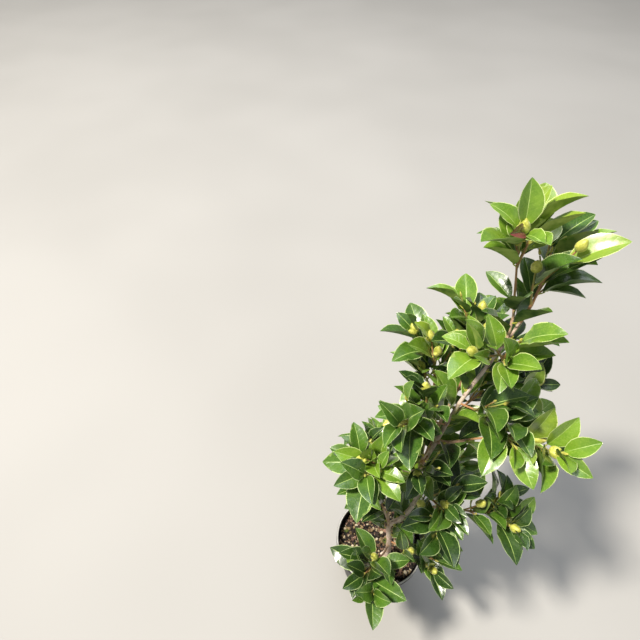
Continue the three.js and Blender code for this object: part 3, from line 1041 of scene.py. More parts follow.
def bent_grid(
    name: str, columns: int, rows: int, place: Callable[[int, int], Sequence[float]]
) -> Object:
    """A flat grid bent into a closed form, its coinciding points merged.

    Args:
        name: The object's name.
        columns: Faces from side to side.
        rows: Faces from end to end.
        place: Gives each point's place from its column and row.

    Returns:
        The object, its faces pointing outwards and its map as the flat grid's.
    """
    deselect()
    bpy.ops.mesh.primitive_grid_add(x_subdivisions=columns, y_subdivisions=rows, size=2)
    thing = named(name)
    for point in thing.data.vertices:
        point.co = place(*on_grid(point.co, columns, rows))
    with editing(thing):
        bpy.ops.mesh.remove_doubles(threshold=1e-7)
        bpy.ops.mesh.normals_make_consistent(inside=False)
    return thing


def search_tree(names: Sequence[str]) -> BVHTree:
    """A tree of the faces of finished pieces, to find what crosses them.

    Args:
        names: The pieces; one that isn't there is passed over.

    Returns:
        The tree, in metres.
    """
    points, faces = [], []
    for thing in filter(None, map(bpy.data.objects.get, names)):
        faces += [[corner + len(points) for corner in face.vertices] for face in thing.data.polygons]
        points += [point.co.copy() for point in thing.data.vertices]
    return BVHTree.FromPolygons(points, faces)


@dataclass
class Pattern:
    """A small mesh that is copied many times: its points, its faces and what each face wears."""

    points: np.ndarray
    faces: list[tuple[int, ...]]
    wears: list[int]
    map: np.ndarray

    @classmethod
    def from_object(cls, thing: Object) -> "Pattern":
        """Reads a modelled object and removes it from the scene.

        Args:
            thing: The object.

        Returns:
            Its pattern.
        """
        mesh = thing.data
        points = np.array([point.co[:] for point in mesh.vertices])
        faces = [tuple(face.vertices) for face in mesh.polygons]
        wears = [face.material_index for face in mesh.polygons]
        uv = np.array([corner.uv[:] for corner in mesh.uv_layers[0].data])
        bpy.data.objects.remove(thing)
        return cls(points, faces, wears, uv)

    def mirrored(self) -> "Pattern":
        """The pattern with left and right changed, its faces still outwards.

        Returns:
            The new pattern.
        """
        stops = np.cumsum([len(face) for face in self.faces])[:-1]
        uv = np.concatenate([part[::-1] for part in np.split(self.map, stops)])
        faces = [tuple(reversed(face)) for face in self.faces]
        return Pattern(self.points * (-1, 1, 1), faces, self.wears, uv)


class Joined:
    """Many copies laid into one mesh."""

    MAP = "own_map"

    def __init__(self, name: str) -> None:
        """Starts an empty mesh.

        Args:
            name: The piece's name.
        """
        self.name = name
        self.points: list[np.ndarray] = []
        self.faces: list[tuple[int, ...]] = []
        self.wears: list[int] = []
        self.map: list[np.ndarray] = []
        self.count = 0

    def add(self, pattern: Pattern, points: np.ndarray) -> None:
        """Lays a copy of a pattern with its points at their places in millimetres.

        Args:
            pattern: The pattern.
            points: The copy's points.
        """
        self.points.append(points)
        self.faces.extend(tuple(corner + self.count for corner in face) for face in pattern.faces)
        self.wears.extend(pattern.wears)
        self.map.append(pattern.map)
        self.count += len(points)

    def make(self, finishes: Sequence[Material], degrees: float) -> Object:
        """Makes the object.

        Args:
            finishes: The materials, in the order that the faces' numbers mean.
            degrees: Edges sharper than this stay crisp.

        Returns:
            The object, in metres.
        """
        mesh = bpy.data.meshes.new(self.name)
        mesh.from_pydata(np.concatenate(self.points) * MM, [], self.faces)
        for finish in finishes:
            mesh.materials.append(finish)
        mesh.polygons.foreach_set("material_index", self.wears)
        mesh.uv_layers.new(name=self.MAP).data.foreach_set("uv", np.concatenate(self.map).ravel())
        mesh.validate()
        thing = shown(self.name, mesh)
        smooth(thing, degrees)
        return thing


def placed(points: np.ndarray, root: Triple, axes: Sequence[Triple], size: Sequence[float]) -> np.ndarray:
    """A pattern's points in millimetres: its origin at a root and its axes along three directions."""
    return np.array(root) + (points * np.array(size)) @ np.array(axes)


def tube_pattern(path: Sequence[Triple], radii: Sequence[float], sides: int) -> Pattern:
    """A tube along a path, closed at both ends.

    Args:
        path: The places that it goes through.
        radii: Its radius at each.
        sides: How many sides it has.

    Returns:
        The tube as a pattern whose points are already in place.
    """
    places = np.array(path)
    steps = np.gradient(places, axis=0)
    axis = steps[0] / np.linalg.norm(steps[0])
    first = np.array(cross_axes(tuple(axis))[0])
    rings, uv, faces = [places[:1]], [], []
    turns = np.arange(sides) * 2 * pi / sides
    for place, step, radius in zip(places, steps, radii):
        axis = step / np.linalg.norm(step)
        first = first - axis * (first @ axis)
        first /= np.linalg.norm(first)
        second = np.cross(axis, first)
        rings.append(place + radius * (np.outer(np.cos(turns), first) + np.outer(np.sin(turns), second)))
    rings.append(places[-1:])
    last = 1 + len(path) * sides
    for side in range(sides):
        beside = (side + 1) % sides
        faces.append((0, 1 + beside, 1 + side))
        uv += [(0, 0), (side + 1, 0), (side, 0)]
        for ring in range(len(path) - 1):
            low, high = 1 + ring * sides, 1 + (ring + 1) * sides
            faces.append((low + side, low + beside, high + beside, high + side))
            uv += [(side, ring), (side + 1, ring), (side + 1, ring + 1), (side, ring + 1)]
        top = last - sides
        faces.append((top + side, top + beside, last))
        uv += [(side, len(path)), (side + 1, len(path)), (side, len(path))]
    return Pattern(np.concatenate(rings), faces, [0] * len(faces), np.array(uv) / (sides, len(path)))


def dress(
    thing: Object, replaces: Sequence[str], finish: Material | None = None
) -> None:
    """Hands a finished piece to the frame.

    Args:
        thing: The piece.
        replaces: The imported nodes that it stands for.
        finish: Its one material, where it has no others yet.
    """
    if finish is not None:
        thing.data.materials.clear()
        thing.data.materials.append(finish)
    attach(thing, "root")
    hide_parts(*replaces)
    log.info("%s: %d faces", thing.name, len(thing.data.polygons))


# Finishes
def linear(code: str) -> Sequence[float]:
    """An sRGB hex colour as Blender's linear one.

    Args:
        code: Six hex digits after a hash.

    Returns:
        Red, green, blue and 1.
    """
    parts = [int(code[i : i + 2], 16) / 255 for i in (1, 3, 5)]
    red, green, blue = [p / 12.92 if p <= 0.04045 else ((p + 0.055) / 1.055) ** 2.4 for p in parts]
    return (red, green, blue, 1.0)


USUAL: dict[str, dict[str, Any]] = {
    "MapRange": {"interpolation_type": "SMOOTHSTEP", "clamp": True},
    "Math": {"operation": "MULTIPLY"},
    "Mix": {"data_type": "RGBA"},
}
TIMES_PLUS = {"operation": "MULTIPLY_ADD"}  # the first value times the second, plus the third


def add_node(
    tree: NodeTree, kind: str, inputs: Sequence[Any] | dict[str, Any] = (), **settings: Any
) -> Node:
    """Adds a node with its settings, values and links.

    Args:
        tree: The material's or world's nodes.
        kind: The node's type, without the ShaderNode that it starts with.
        inputs: Values, hex colours, sockets, or nodes for the first socket that they put out, by name
            or for the sockets in use in their order.
        settings: The node's own settings, where they aren't the usual ones.

    Returns:
        The node.
    """
    node = tree.nodes.new("ShaderNode" + kind)
    for name, setting in (USUAL.get(kind, {}) | settings).items():
        setattr(node, name, setting)
    sockets = [socket for socket in node.inputs if socket.enabled]
    if isinstance(inputs, dict):
        sockets = [node.inputs[name] for name in inputs]
        inputs = list(inputs.values())
    for socket, value in zip(sockets, inputs):
        if isinstance(value, Node):
            value = next(output for output in value.outputs if output.enabled)
        if isinstance(value, NodeSocket):
            tree.links.new(value, socket)
        else:
            socket.default_value = linear(value) if isinstance(value, str) else value
    return node


def grain(size_mm: float, detail: float = 3.0) -> tuple[float, float, float]:
    """The scale, detail and roughness of noise whose patches have a real size in millimetres."""
    return 500 / size_mm, detail, 0.6


@dataclass(frozen=True)
class Finish:
    """What all finishes share: a name, and a way to make the material from its look."""

    name: str

    def look(self, add: Adder, where: NodeSocket) -> Inputs:
        """Adds the nodes of the finish's look and gives the shader's inputs by name."""
        raise NotImplementedError

    def build(self) -> Material:
        """Makes the material.

        Returns:
            The material.
        """
        material = bpy.data.materials.new(self.name)
        material.use_nodes = True
        material.node_tree.nodes.clear()
        add = partial(add_node, material.node_tree)
        shader = add("BsdfPrincipled", self.look(add, add("TexCoord").outputs["Object"]))
        add("OutputMaterial", {"Surface": shader})
        return material


@dataclass(frozen=True)
class LeafSkin(Finish):
    """Waxy leaf skin: a cuticle that mirrors the sky, puffed between veins, with a pale toothed edge that
    is partly its own paler rim and partly painted light for the lit, translucent edge.
    """

    green: str
    shade: str
    vein: str
    # the margin's colour: its own paler rim, lightened further as painted light for the lit translucent
    # edge
    margin: str

    GLOSS = (0.25, 0.4)  # the roughness where it is shiniest and where it is dullest
    SLANT = -0.2  # how far the side veins run forward on their way out
    VEIN_PAIRS = 7.5  # side veins leave the midrib every 5 mm on a full leaf
    MOTTLE_MM = 16.0
    TEETH = 26.0  # on each side, 1.8 mm apart on a full leaf
    TOOTH_DEPTH = 0.016
    MARGIN_FROM = 0.925  # of the way from the midrib to the edge

    def look(self, add: Adder, where: NodeSocket) -> Inputs:
        """Adds veins, mottle, net and a pale toothed margin, partly painted light for the lit edge, under a
        clear wax coat.

        Args:
            add: Adds a node.
            where: The object coordinates.

        Returns:
            The shader's inputs.
        """
        flat = add("SeparateXYZ", [add("UVMap", uv_map=Joined.MAP)]).outputs
        out = add("Math", [add("Math", [flat["X"], 2.0, -1.0], **TIMES_PLUS)], operation="ABSOLUTE")
        along = add("Math", [out, self.SLANT, flat["Y"]], **TIMES_PLUS)
        wave = add("Math", [add("Math", [along, self.VEIN_PAIRS * 2 * pi])], operation="SINE")
        line = add("Math", [add("MapRange", [wave, 0.86, 1.0]), add("MapRange", [out, 0.95, 0.55])])
        mottle = add("MapRange", [add("TexNoise", [where, *grain(self.MOTTLE_MM)]), 0.36, 0.64])
        fine = add("TexNoise", [where, *grain(0.8)])
        net = add("Math", [line, 0.09, add("MapRange", [fine, 0.42, 0.72, 0.0, 0.26])], **TIMES_PLUS)
        colour = add("Mix", [net, add("Mix", [mottle, self.shade, self.green]), self.vein])
        # the pale toothed margin: partly the leaf's own rim, partly painted light for the lit translucent
        # edge
        teeth = add("Math", [add("Math", [flat["Y"], self.TEETH * 2 * pi])], operation="SINE")
        edge = add("Math", [teeth, -self.TOOTH_DEPTH, out], **TIMES_PLUS)
        edge = add("MapRange", [edge, self.MARGIN_FROM, self.MARGIN_FROM + 0.02, 0.0, 0.92])
        puffed = add("Math", [wave, -0.06, add("Math", [fine, 0.34])], **TIMES_PLUS)
        height = add("Math", [line, -0.12, puffed], **TIMES_PLUS)
        sheen = add("TexNoise", [where, *grain(7.0)])
        return {
            "Base Color": add("Mix", [edge, colour, self.margin]),
            "Roughness": add("MapRange", [sheen, 0.3, 0.7, *self.GLOSS]),
            "Normal": add("Bump", {"Height": height, "Distance": 0.3 * MM}),
            "Coat Weight": 0.5,
            "Coat Roughness": 0.19,
        }


@dataclass(frozen=True)
class PlainSkin(Finish):
    """Plant skin with no veins, such as a midrib, a stalk or an underside: soft, faintly mottled."""

    light: str
    dark: str
    roughness: float = 0.45
    grain_mm: float = 3.0

    def look(self, add: Adder, where: NodeSocket) -> Inputs:
        """Adds soft patches of two tones.

        Args:
            add: Adds a node.
            where: The object coordinates.

        Returns:
            The shader's inputs.
        """
        patches = add("MapRange", [add("TexNoise", [where, *grain(self.grain_mm)]), 0.35, 0.65])
        fine = add("TexNoise", [where, *grain(0.9, 1.0)])
        return {
            "Base Color": add("Mix", [patches, self.dark, self.light]),
            "Roughness": add("MapRange", [patches, 0.0, 1.0, self.roughness + 0.06, self.roughness - 0.04]),
            "Normal": add("Bump", {"Height": fine, "Distance": 0.12 * MM}),
        }


@dataclass(frozen=True)
class Bark(Finish):
    """Smooth thin bark: grey film that splits along the stem over pinkish brown, with pale corky dots."""

    film: str
    under: str
    crack: str
    dots: str
    depth_mm: float = 0.35

    def look(self, add: Adder, where: NodeSocket) -> Inputs:
        """Adds patches of film, streaks and cracks along the stem, and dots drawn out across it.

        Args:
            add: Adds a node.
            where: The object coordinates.

        Returns:
            The shader's inputs.
        """
        patches = add("MapRange", [add("TexNoise", [where, *grain(9.0, 4.0)]), 0.38, 0.62])
        along = add("Mapping", {"Vector": where, "Scale": (1.0, 1.0, 0.28)})
        fibres = add("TexNoise", [along, *grain(1.3, 5.0)])
        cracks = add("MapRange", [fibres, 0.43, 0.33])
        streaks = add("MapRange", [fibres, 0.3, 0.72])
        across = add("Mapping", {"Vector": where, "Scale": (1.0, 1.0, 2.4)})
        dots = add("MapRange", [add("TexVoronoi", [across, 330.0]), 0.3, 0.16])
        few = add("MapRange", [add("TexNoise", [where, *grain(4.0, 1.0)]), 0.5, 0.62])
        dots = add("Math", [dots, few])
        colour = add("Mix", [patches, self.under, self.film])
        for marks, share, tone in (
            (streaks, 0.45, self.dots), (cracks, 0.8, self.crack), (dots, 0.7, self.dots)
        ):
            colour = add("Mix", [add("Math", [marks, share]), colour, tone])
        height = add("Math", [dots, 0.35, fibres], **TIMES_PLUS)
        height = add("Math", [cracks, -0.6, height], **TIMES_PLUS)
        return {
            "Base Color": colour,
            "Roughness": add("MapRange", [fibres, 0.3, 0.7, 0.86, 0.62]),
            "Normal": add("Bump", {"Height": height, "Distance": self.depth_mm * MM}),
        }


@dataclass(frozen=True)
class YoungStem(Finish):
    """Skin of a one-year shoot: orange-brown over green, faintly ribbed along and still a little glossy."""

    brown: str
    green: str
    share: float
    rib: str = "#e0cfa6"

    def look(self, add: Adder, where: NodeSocket) -> Inputs:
        """Adds brown and green patches and pale ribs.

        Args:
            add: Adds a node.
            where: The object coordinates.

        Returns:
            The shader's inputs.
        """
        patches = add("TexNoise", [where, *grain(7.0, 2.0)])
        patches = add("MapRange", [patches, self.share - 0.12, self.share + 0.12])
        along = add("Mapping", {"Vector": where, "Scale": (1.0, 1.0, 0.3)})
        ribs = add("TexNoise", [along, *grain(0.9, 2.0)])
        pale = add("MapRange", [ribs, 0.55, 0.75, 0.0, 0.35])
        return {
            "Base Color": add("Mix", [pale, add("Mix", [patches, self.brown, self.green]), self.rib]),
            "Roughness": add("MapRange", [ribs, 0.3, 0.7, 0.6, 0.42]),
            "Normal": add("Bump", {"Height": ribs, "Distance": 0.2 * MM}),
        }


@dataclass(frozen=True)
class BudScale(Finish):
    """Bud scales: overlapping silky shields, yellow with pale papery tips."""

    light: str
    dark: str

    def look(self, add: Adder, where: NodeSocket) -> Inputs:
        """Adds soft patches and silk that runs along the bud.

        Args:
            add: Adds a node.
            where: The object coordinates.

        Returns:
            The shader's inputs.
        """
        patches = add("MapRange", [add("TexNoise", [where, *grain(2.2)]), 0.36, 0.66])
        along = add("Mapping", {"Vector": where, "Scale": (1.0, 1.0, 0.3)})
        silk = add("TexNoise", [along, *grain(0.5, 2.0)])
        return {
            "Base Color": add("Mix", [patches, self.dark, self.light]),
            "Roughness": add("MapRange", [silk, 0.3, 0.7, 0.5, 0.4]),
            "Normal": add("Bump", {"Height": silk, "Distance": 0.12 * MM}),
            "Sheen Weight": 0.25,
            "Sheen Roughness": 0.4,
        }


@dataclass(frozen=True)
class PotPlastic(Finish):
    """Injection-moulded black polypropylene: satin, with fine scuffs and dried dust low down and inside."""

    black: str = "#0b0b0d"
    worn: str = "#18191b"
    dust: str = "#665442"
    # painted highlight: the near-white colour that stands in for the glint along the rim's lip
    painted_lip_glint: str = "#cfcdc7"

    DUST_UP_TO = 0.05  # metres above the ground

    def look(self, add: Adder, where: NodeSocket) -> Inputs:
        """Adds rings of wear, a painted near-white glint in patches along the lip and spots of dust that
        thin out upwards.

        Args:
            add: Adds a node.
            where: The object coordinates.

        Returns:
            The shader's inputs.
        """
        level = add("SeparateXYZ", [where]).outputs["Z"]
        cloud = add("TexNoise", [where, *grain(26.0, 5.0)])
        around = add("Mapping", {"Vector": where, "Scale": (0.25, 0.25, 1.0)})
        rings = add("MapRange", [add("TexNoise", [around, *grain(0.8, 2.0)]), 0.52, 0.7])
        specks = add("TexNoise", [where, *grain(1.6, 2.0)])
        wear = add("Math", [rings, add("MapRange", [cloud, 0.4, 0.7])])
        colour = add("Mix", [wear, self.black, self.worn])
        # painted highlight: the top of the lip is painted near-white in patches where the rim glints
        lip = add("MapRange", [level, (POT_HEIGHT - 0.9) * MM, (POT_HEIGHT - 0.1) * MM])
        painted_glint_mask = add("Math", [lip, add("MapRange", [cloud, 0.3, 0.62, 0.45, 0.95])])
        colour = add("Mix", [painted_glint_mask, colour, self.painted_lip_glint])
        low = add("MapRange", [level, self.DUST_UP_TO, 0.0, 0.0, 0.4])
        spots = [add("MapRange", [specks, 0.56, 0.7]), add("MapRange", [cloud, 0.45, 0.7])]
        dusty = add("Math", [add("Math", [low, 0.3], operation="ADD"), add("Math", spots)])
        film = add("Math", [add("MapRange", [cloud, 0.4, 0.8]), 0.04, dusty], **TIMES_PLUS)
        satin = add("MapRange", [cloud, 0.3, 0.7, 0.34, 0.46])
        return {
            "Base Color": add("Mix", [film, colour, self.dust]),
            "Roughness": add("Math", [film, 0.5, satin], **TIMES_PLUS),
            "Normal": add("Bump", {"Height": specks, "Distance": 0.1 * MM}),
            "Specular IOR Level": 0.3,
        }


@dataclass(frozen=True)
class Grit(Finish):
    """Fired clay and bark grit: dull, porous and powdery, each grain a little off the next."""

    light: str
    dark: str

    PORE_MM = 2.2 / 3

    def look(self, add: Adder, where: NodeSocket) -> Inputs:
        """Adds patches of two tones, darkened in the pores by painted shade.

        Args:
            add: Adds a node.
            where: The object coordinates.

        Returns:
            The shader's inputs.
        """
        patches = add("MapRange", [add("TexNoise", [where, *grain(6.0, 2.0)]), 0.35, 0.65])
        pores = add("TexNoise", [where, *grain(self.PORE_MM, 4.0)])
        # painted shade: the colour is multiplied darker in the pores' hollows
        shadow = add("MapRange", [pores, 0.48, 0.3, 0.0, 0.5])
        colour = add("Mix", [patches, self.dark, self.light])
        return {
            "Base Color": add("Mix", [shadow, colour, self.dark], blend_type="MULTIPLY"),
            "Roughness": add("MapRange", [pores, 0.3, 0.7, 0.95, 0.8]),
            "Normal": add("Bump", {"Height": pores, "Distance": 0.4 * MM}),
        }


@dataclass(frozen=True)
class Moss(Finish):
    """Low cushion moss: matt olive tufts with bright tips."""

    light: str = "#8f9a3c"
    dark: str = "#3d4a1d"

    def look(self, add: Adder, where: NodeSocket) -> Inputs:
        """Adds fine tufts.

        Args:
            add: Adds a node.
            where: The object coordinates.

        Returns:
            The shader's inputs.
        """
        tufts = add("MapRange", [add("TexVoronoi", [where, 900.0]), 0.7, 0.1])
        return {
            "Base Color": add("Mix", [tufts, self.dark, self.light]),
            "Roughness": 0.95,
            "Normal": add("Bump", {"Height": tufts, "Distance": 0.8 * MM}),
        }


@dataclass(frozen=True)
class PaintedFloor(Finish):
    """Pale matt studio floor with hardly seen clouds."""

    tone: str = "#a9a7a2"
    cloud: str = "#b0aea9"

    def look(self, add: Adder, where: NodeSocket) -> Inputs:
        """Adds wide soft clouds."""
        cloud = add("MapRange", [add("TexNoise", [where, *grain(400.0, 2.0)]), 0.3, 0.7])
        return {"Base Color": add("Mix", [cloud, self.tone, self.cloud]), "Roughness": 0.9}


def wall_at(z: float) -> float:
    """The outer radius of the pot's wall at a height, in millimetres."""
    return POT_FOOT_RADIUS + (POT_RIM_RADIUS - RIM_BAND_STEP - POT_FOOT_RADIUS) * z / BAND_LOW


@dataclass
class NurseryPot:
    """Thin tapering pot with a deeper band and a rolled lip at its rim and holes in its floor."""

    spin_steps: int = 96
    lip_radius: float = 1.25
    lip_steps: int = 8
    lip_turn: Span = (-20, 200)  # degrees, from outside over the top

    def profile(self) -> list[Span]:
        """The wall's outline from under the floor, up the outside and down the inside.

        Returns:
            Radius and height of each point.
        """
        foot, rim, top, band, lip = POT_FOOT_RADIUS, POT_RIM_RADIUS, POT_HEIGHT, BAND_LOW, self.lip_radius
        turns = [radians(mixed(*self.lip_turn, i / self.lip_steps)) for i in range(self.lip_steps + 1)]
        roll = [(rim - lip + lip * cos(turn), top - lip + lip * sin(turn)) for turn in turns]
        return [
            (0, 0), (foot - 3, 0), (foot - 1.3, 0.3), (foot - 0.2, 1.3),
            *((wall_at(z), z) for z in (3, 30, 62, band - 1.6)),
            (wall_at(band - 0.9) + 0.25, band - 0.9), (rim - 0.9, band - 0.25), (rim - 0.35, band + 0.5),
            (rim - 0.25, band + 4), (rim - 0.15, top - 2.2), *roll,
            (rim - 2.55, top - 3.4), (wall_at(band) - 0.7, band - 0.2),
            (wall_at(band) - POT_WALL, band - 1.6),
            *((wall_at(z) - POT_WALL, z) for z in (50, 5)),
            (wall_at(POT_FLOOR) - POT_WALL - 1.2, POT_FLOOR), (0, POT_FLOOR),
        ]

    def build(self) -> Object:
        """Spins the outline into a shell and cuts its drain holes.

        Returns:
            The pot.
        """
        outline = self.profile()
        mesh = bpy.data.meshes.new("pot_shell")
        points = [(radius * MM, 0, z * MM) for radius, z in outline]
        mesh.from_pydata(points, [(i, i + 1) for i in range(len(points) - 1)], [])
        pot = shown("pot_shell", mesh)
        with editing(pot):
            bpy.ops.mesh.spin(steps=self.spin_steps, angle=2 * pi, center=(0, 0, 0), axis=(0, 0, 1))
            bpy.ops.mesh.select_all(action="SELECT")
            bpy.ops.mesh.remove_doubles(threshold=1e-5)
            bpy.ops.mesh.normals_make_consistent(inside=False)
        cutter = self.drill()
        apply_modifier(pot, "BOOLEAN", object=cutter, operation="DIFFERENCE", solver="EXACT")
        bpy.data.objects.remove(cutter)
        smooth(pot, 35)
        return pot

    def drill(self) -> Object:
        """The pins that the drain holes are cut with, joined into one object.

        Returns:
            The pins.
        """
        deselect()
        pins = []
        for i in range(DRAIN_HOLES):
            turn = 2 * pi * i / DRAIN_HOLES
            bpy.ops.mesh.primitive_cylinder_add(
                vertices=24, radius=DRAIN_RADIUS * MM, depth=8 * POT_FLOOR * MM,
                location=around(turn, DRAIN_CIRCLE_RADIUS * MM),
            )
            pins.append(bpy.context.active_object)
        return joined(pins, "drain_pins")

    def dress(self) -> None:
        """Builds the pot and hands it over."""
        plastic = PotPlastic("moulded black polypropylene").build()
        dress(self.build(), ["nursery_pot"], plastic)


class GritKind(Enum):
    """The kinds of grain in the potting mix, with their share and their light and dark colours."""

    TAN = ("tan", 0.33, "#a08862", "#665237")
    BROWN = ("brown", 0.43, "#382c22", "#17110c")
    CREAM = ("cream", 0.11, "#dccfb4", "#ab9a7c")
    PINK = ("pink", 0.13, "#9a7765", "#644a3d")


@dataclass
class PottingSoil:
    """A bed of dark mix with loose grit over it, level round the trunk's foot."""

    grains: int = 1900
    grain_mm: Span = (1.3, 4.2)
    seed: int = 7
    rings: int = 10
    sides: int = 60
    bed_sink: float = 1.9  # how far the bed lies under the soil's top, for the grit
    wave_mm: Span = (1.1, 0.5)
    mound_mm: float = 14.0
    mound_height: float = 0.6
    cushions: int = 9
    cushion_mm: Span = (2.5, 5.5)

    def inner_radius(self, z: float) -> float:
        """The radius that the soil may fill at a height."""
        return wall_at(z) - POT_WALL

    def surface(self, x: float, y: float) -> float:
        """The bed's height at a place: low waves, a little raised round the trunk.

        Args:
            x: The place's x.
            y: Its y.

        Returns:
            The height in millimetres.
        """
        wide, fine = Vector((x, y, 0)) * 0.045, Vector((x, y, 9)) * 0.16  # waves 22 and 6 mm long
        waves = noise.noise(wide) * self.wave_mm[0] + noise.noise(fine) * self.wave_mm[1]
        foot = exp(-((hypot(x - TRUNK_FOOT[0], y - TRUNK_FOOT[1]) / self.mound_mm) ** 2))
        return SOIL_TOP - self.bed_sink + waves * (1 - foot) + self.mound_height * foot

    def bed(self) -> Object:
        """A closed plug that tapers with the pot, its top in rings that follow the waves.

        Returns:
            The bed.
        """
        low = POT_FLOOR + GAP
        side = 2 * GAP

        def place(column: int, row: int) -> Sequence[float]:
            """A point of the plug: rows go in under it, up its side and in over its top.

            Args:
                column: The grid's column.
                row: The grid's row.

            Returns:
                The place in metres.
            """
            turn = 2 * pi * column / self.sides
            if row <= 1:
                radius, z = (self.inner_radius(low) - side) * row, low
            else:
                inwards = (row - 2) / self.rings
                radius = (self.inner_radius(SOIL_TOP) - side) * (1 - inwards)
                z = self.surface(*around(turn, radius)[:2])
            return scaled(around(turn, radius, z), MM)

        bed = bent_grid("soil_bed", self.sides, self.rings + 2, place)
        smooth(bed, 60)
        return bed

    def pebble(self, seed: int) -> Pattern:
        """One grain: a cube divided once, rounded and knocked about.

        Args:
            seed: Varies its shape.

        Returns:
            The grain.
        """
        deselect()
        bpy.ops.mesh.primitive_cube_add(size=1)
        grain = named(f"pebble_{seed}")
        with editing(grain):
            bpy.ops.mesh.subdivide(number_cuts=1)
            bpy.ops.transform.tosphere(value=0.8)
            bpy.ops.transform.vertex_random(offset=0.12, uniform=1.0, normal=0.0, seed=seed)
        return Pattern.from_object(grain)

    def scatter(self) -> dict[GritKind, Joined]:
        """Deals the grains over the bed, the later ones lying on the earlier.

        Returns:
            A heap of each kind.
        """
        patterns = [self.pebble(seed) for seed in (1, 2, 3, 4)]
        heaps = {kind: Joined(f"{kind.value[0]}_grit") for kind in GritKind}
        chance = Chance(self.seed)
        bounds = np.cumsum([kind.value[1] for kind in GritKind])
        for index in range(self.grains):
            layer = index / self.grains
            size = mixed(*self.grain_mm, chance.next() ** 2.2)
            reach = self.inner_radius(SOIL_TOP) - size * 0.55
            radius, turn = reach * sqrt(chance.next()), chance.between(0, 2 * pi)
            x, y, _ = around(turn, radius)
            z = self.surface(x, y) + size * 0.18 + layer * 1.5
            kind = list(GritKind)[int(np.searchsorted(bounds, chance.next() * bounds[-1]))]
            turns = Euler([chance.between(0, 2 * pi) for _ in range(3)]).to_matrix()
            shape = [size * chance.between(0.75, 1.15) for _ in range(3)]
            pattern = patterns[index % len(patterns)]
            heaps[kind].add(pattern, placed(pattern.points, (x, y, z), np.array(turns), shape))
        return heaps

    def moss(self) -> Object:
        """A few low cushions of moss between the grains.

        Returns:
            The cushions, joined.
        """
        chance = Chance(self.seed + 1)
        cushions = []
        for _ in range(self.cushions):
            radius, turn = 50 * sqrt(chance.next()), chance.between(0, 2 * pi)
            x, y, _ = around(turn, radius)
            size = min(chance.between(*self.cushion_mm), self.inner_radius(SOIL_TOP) - 1 - radius)
            deselect()
            bpy.ops.mesh.primitive_ico_sphere_add(
                subdivisions=4, radius=1, location=(x * MM, y * MM, self.surface(x, y) * MM),
                scale=(size * MM, size * chance.between(0.7, 1) * MM, size * 0.55 * MM),
            )
            cushions.append(bpy.context.active_object)
        moss = joined(cushions, "moss_cushions")
        bpy.ops.object.transform_apply(location=True, rotation=True, scale=True)
        for point in moss.data.vertices:
            tuft = noise.noise(point.co * 1400) * 0.35 + noise.noise(point.co * 420) * 0.6
            point.co += point.normal * tuft * MM
        smooth(moss, 60)
        return moss

    def dress(self) -> None:
        """Builds bed, grit and moss and hands them over."""
        peat = Grit("damp bark and peat bed", "#2a2018", "#14100c").build()
        dress(self.bed(), ["potting_soil"], peat)
        for kind, heap in self.scatter().items():
            name, _, light, dark = kind.value
            grit = heap.make([Grit(f"{name} fired clay grit", light, dark).build()], 40)
            dress(grit, ["potting_soil"])
        dress(self.moss(), ["potting_soil"], Moss("cushion moss").build())


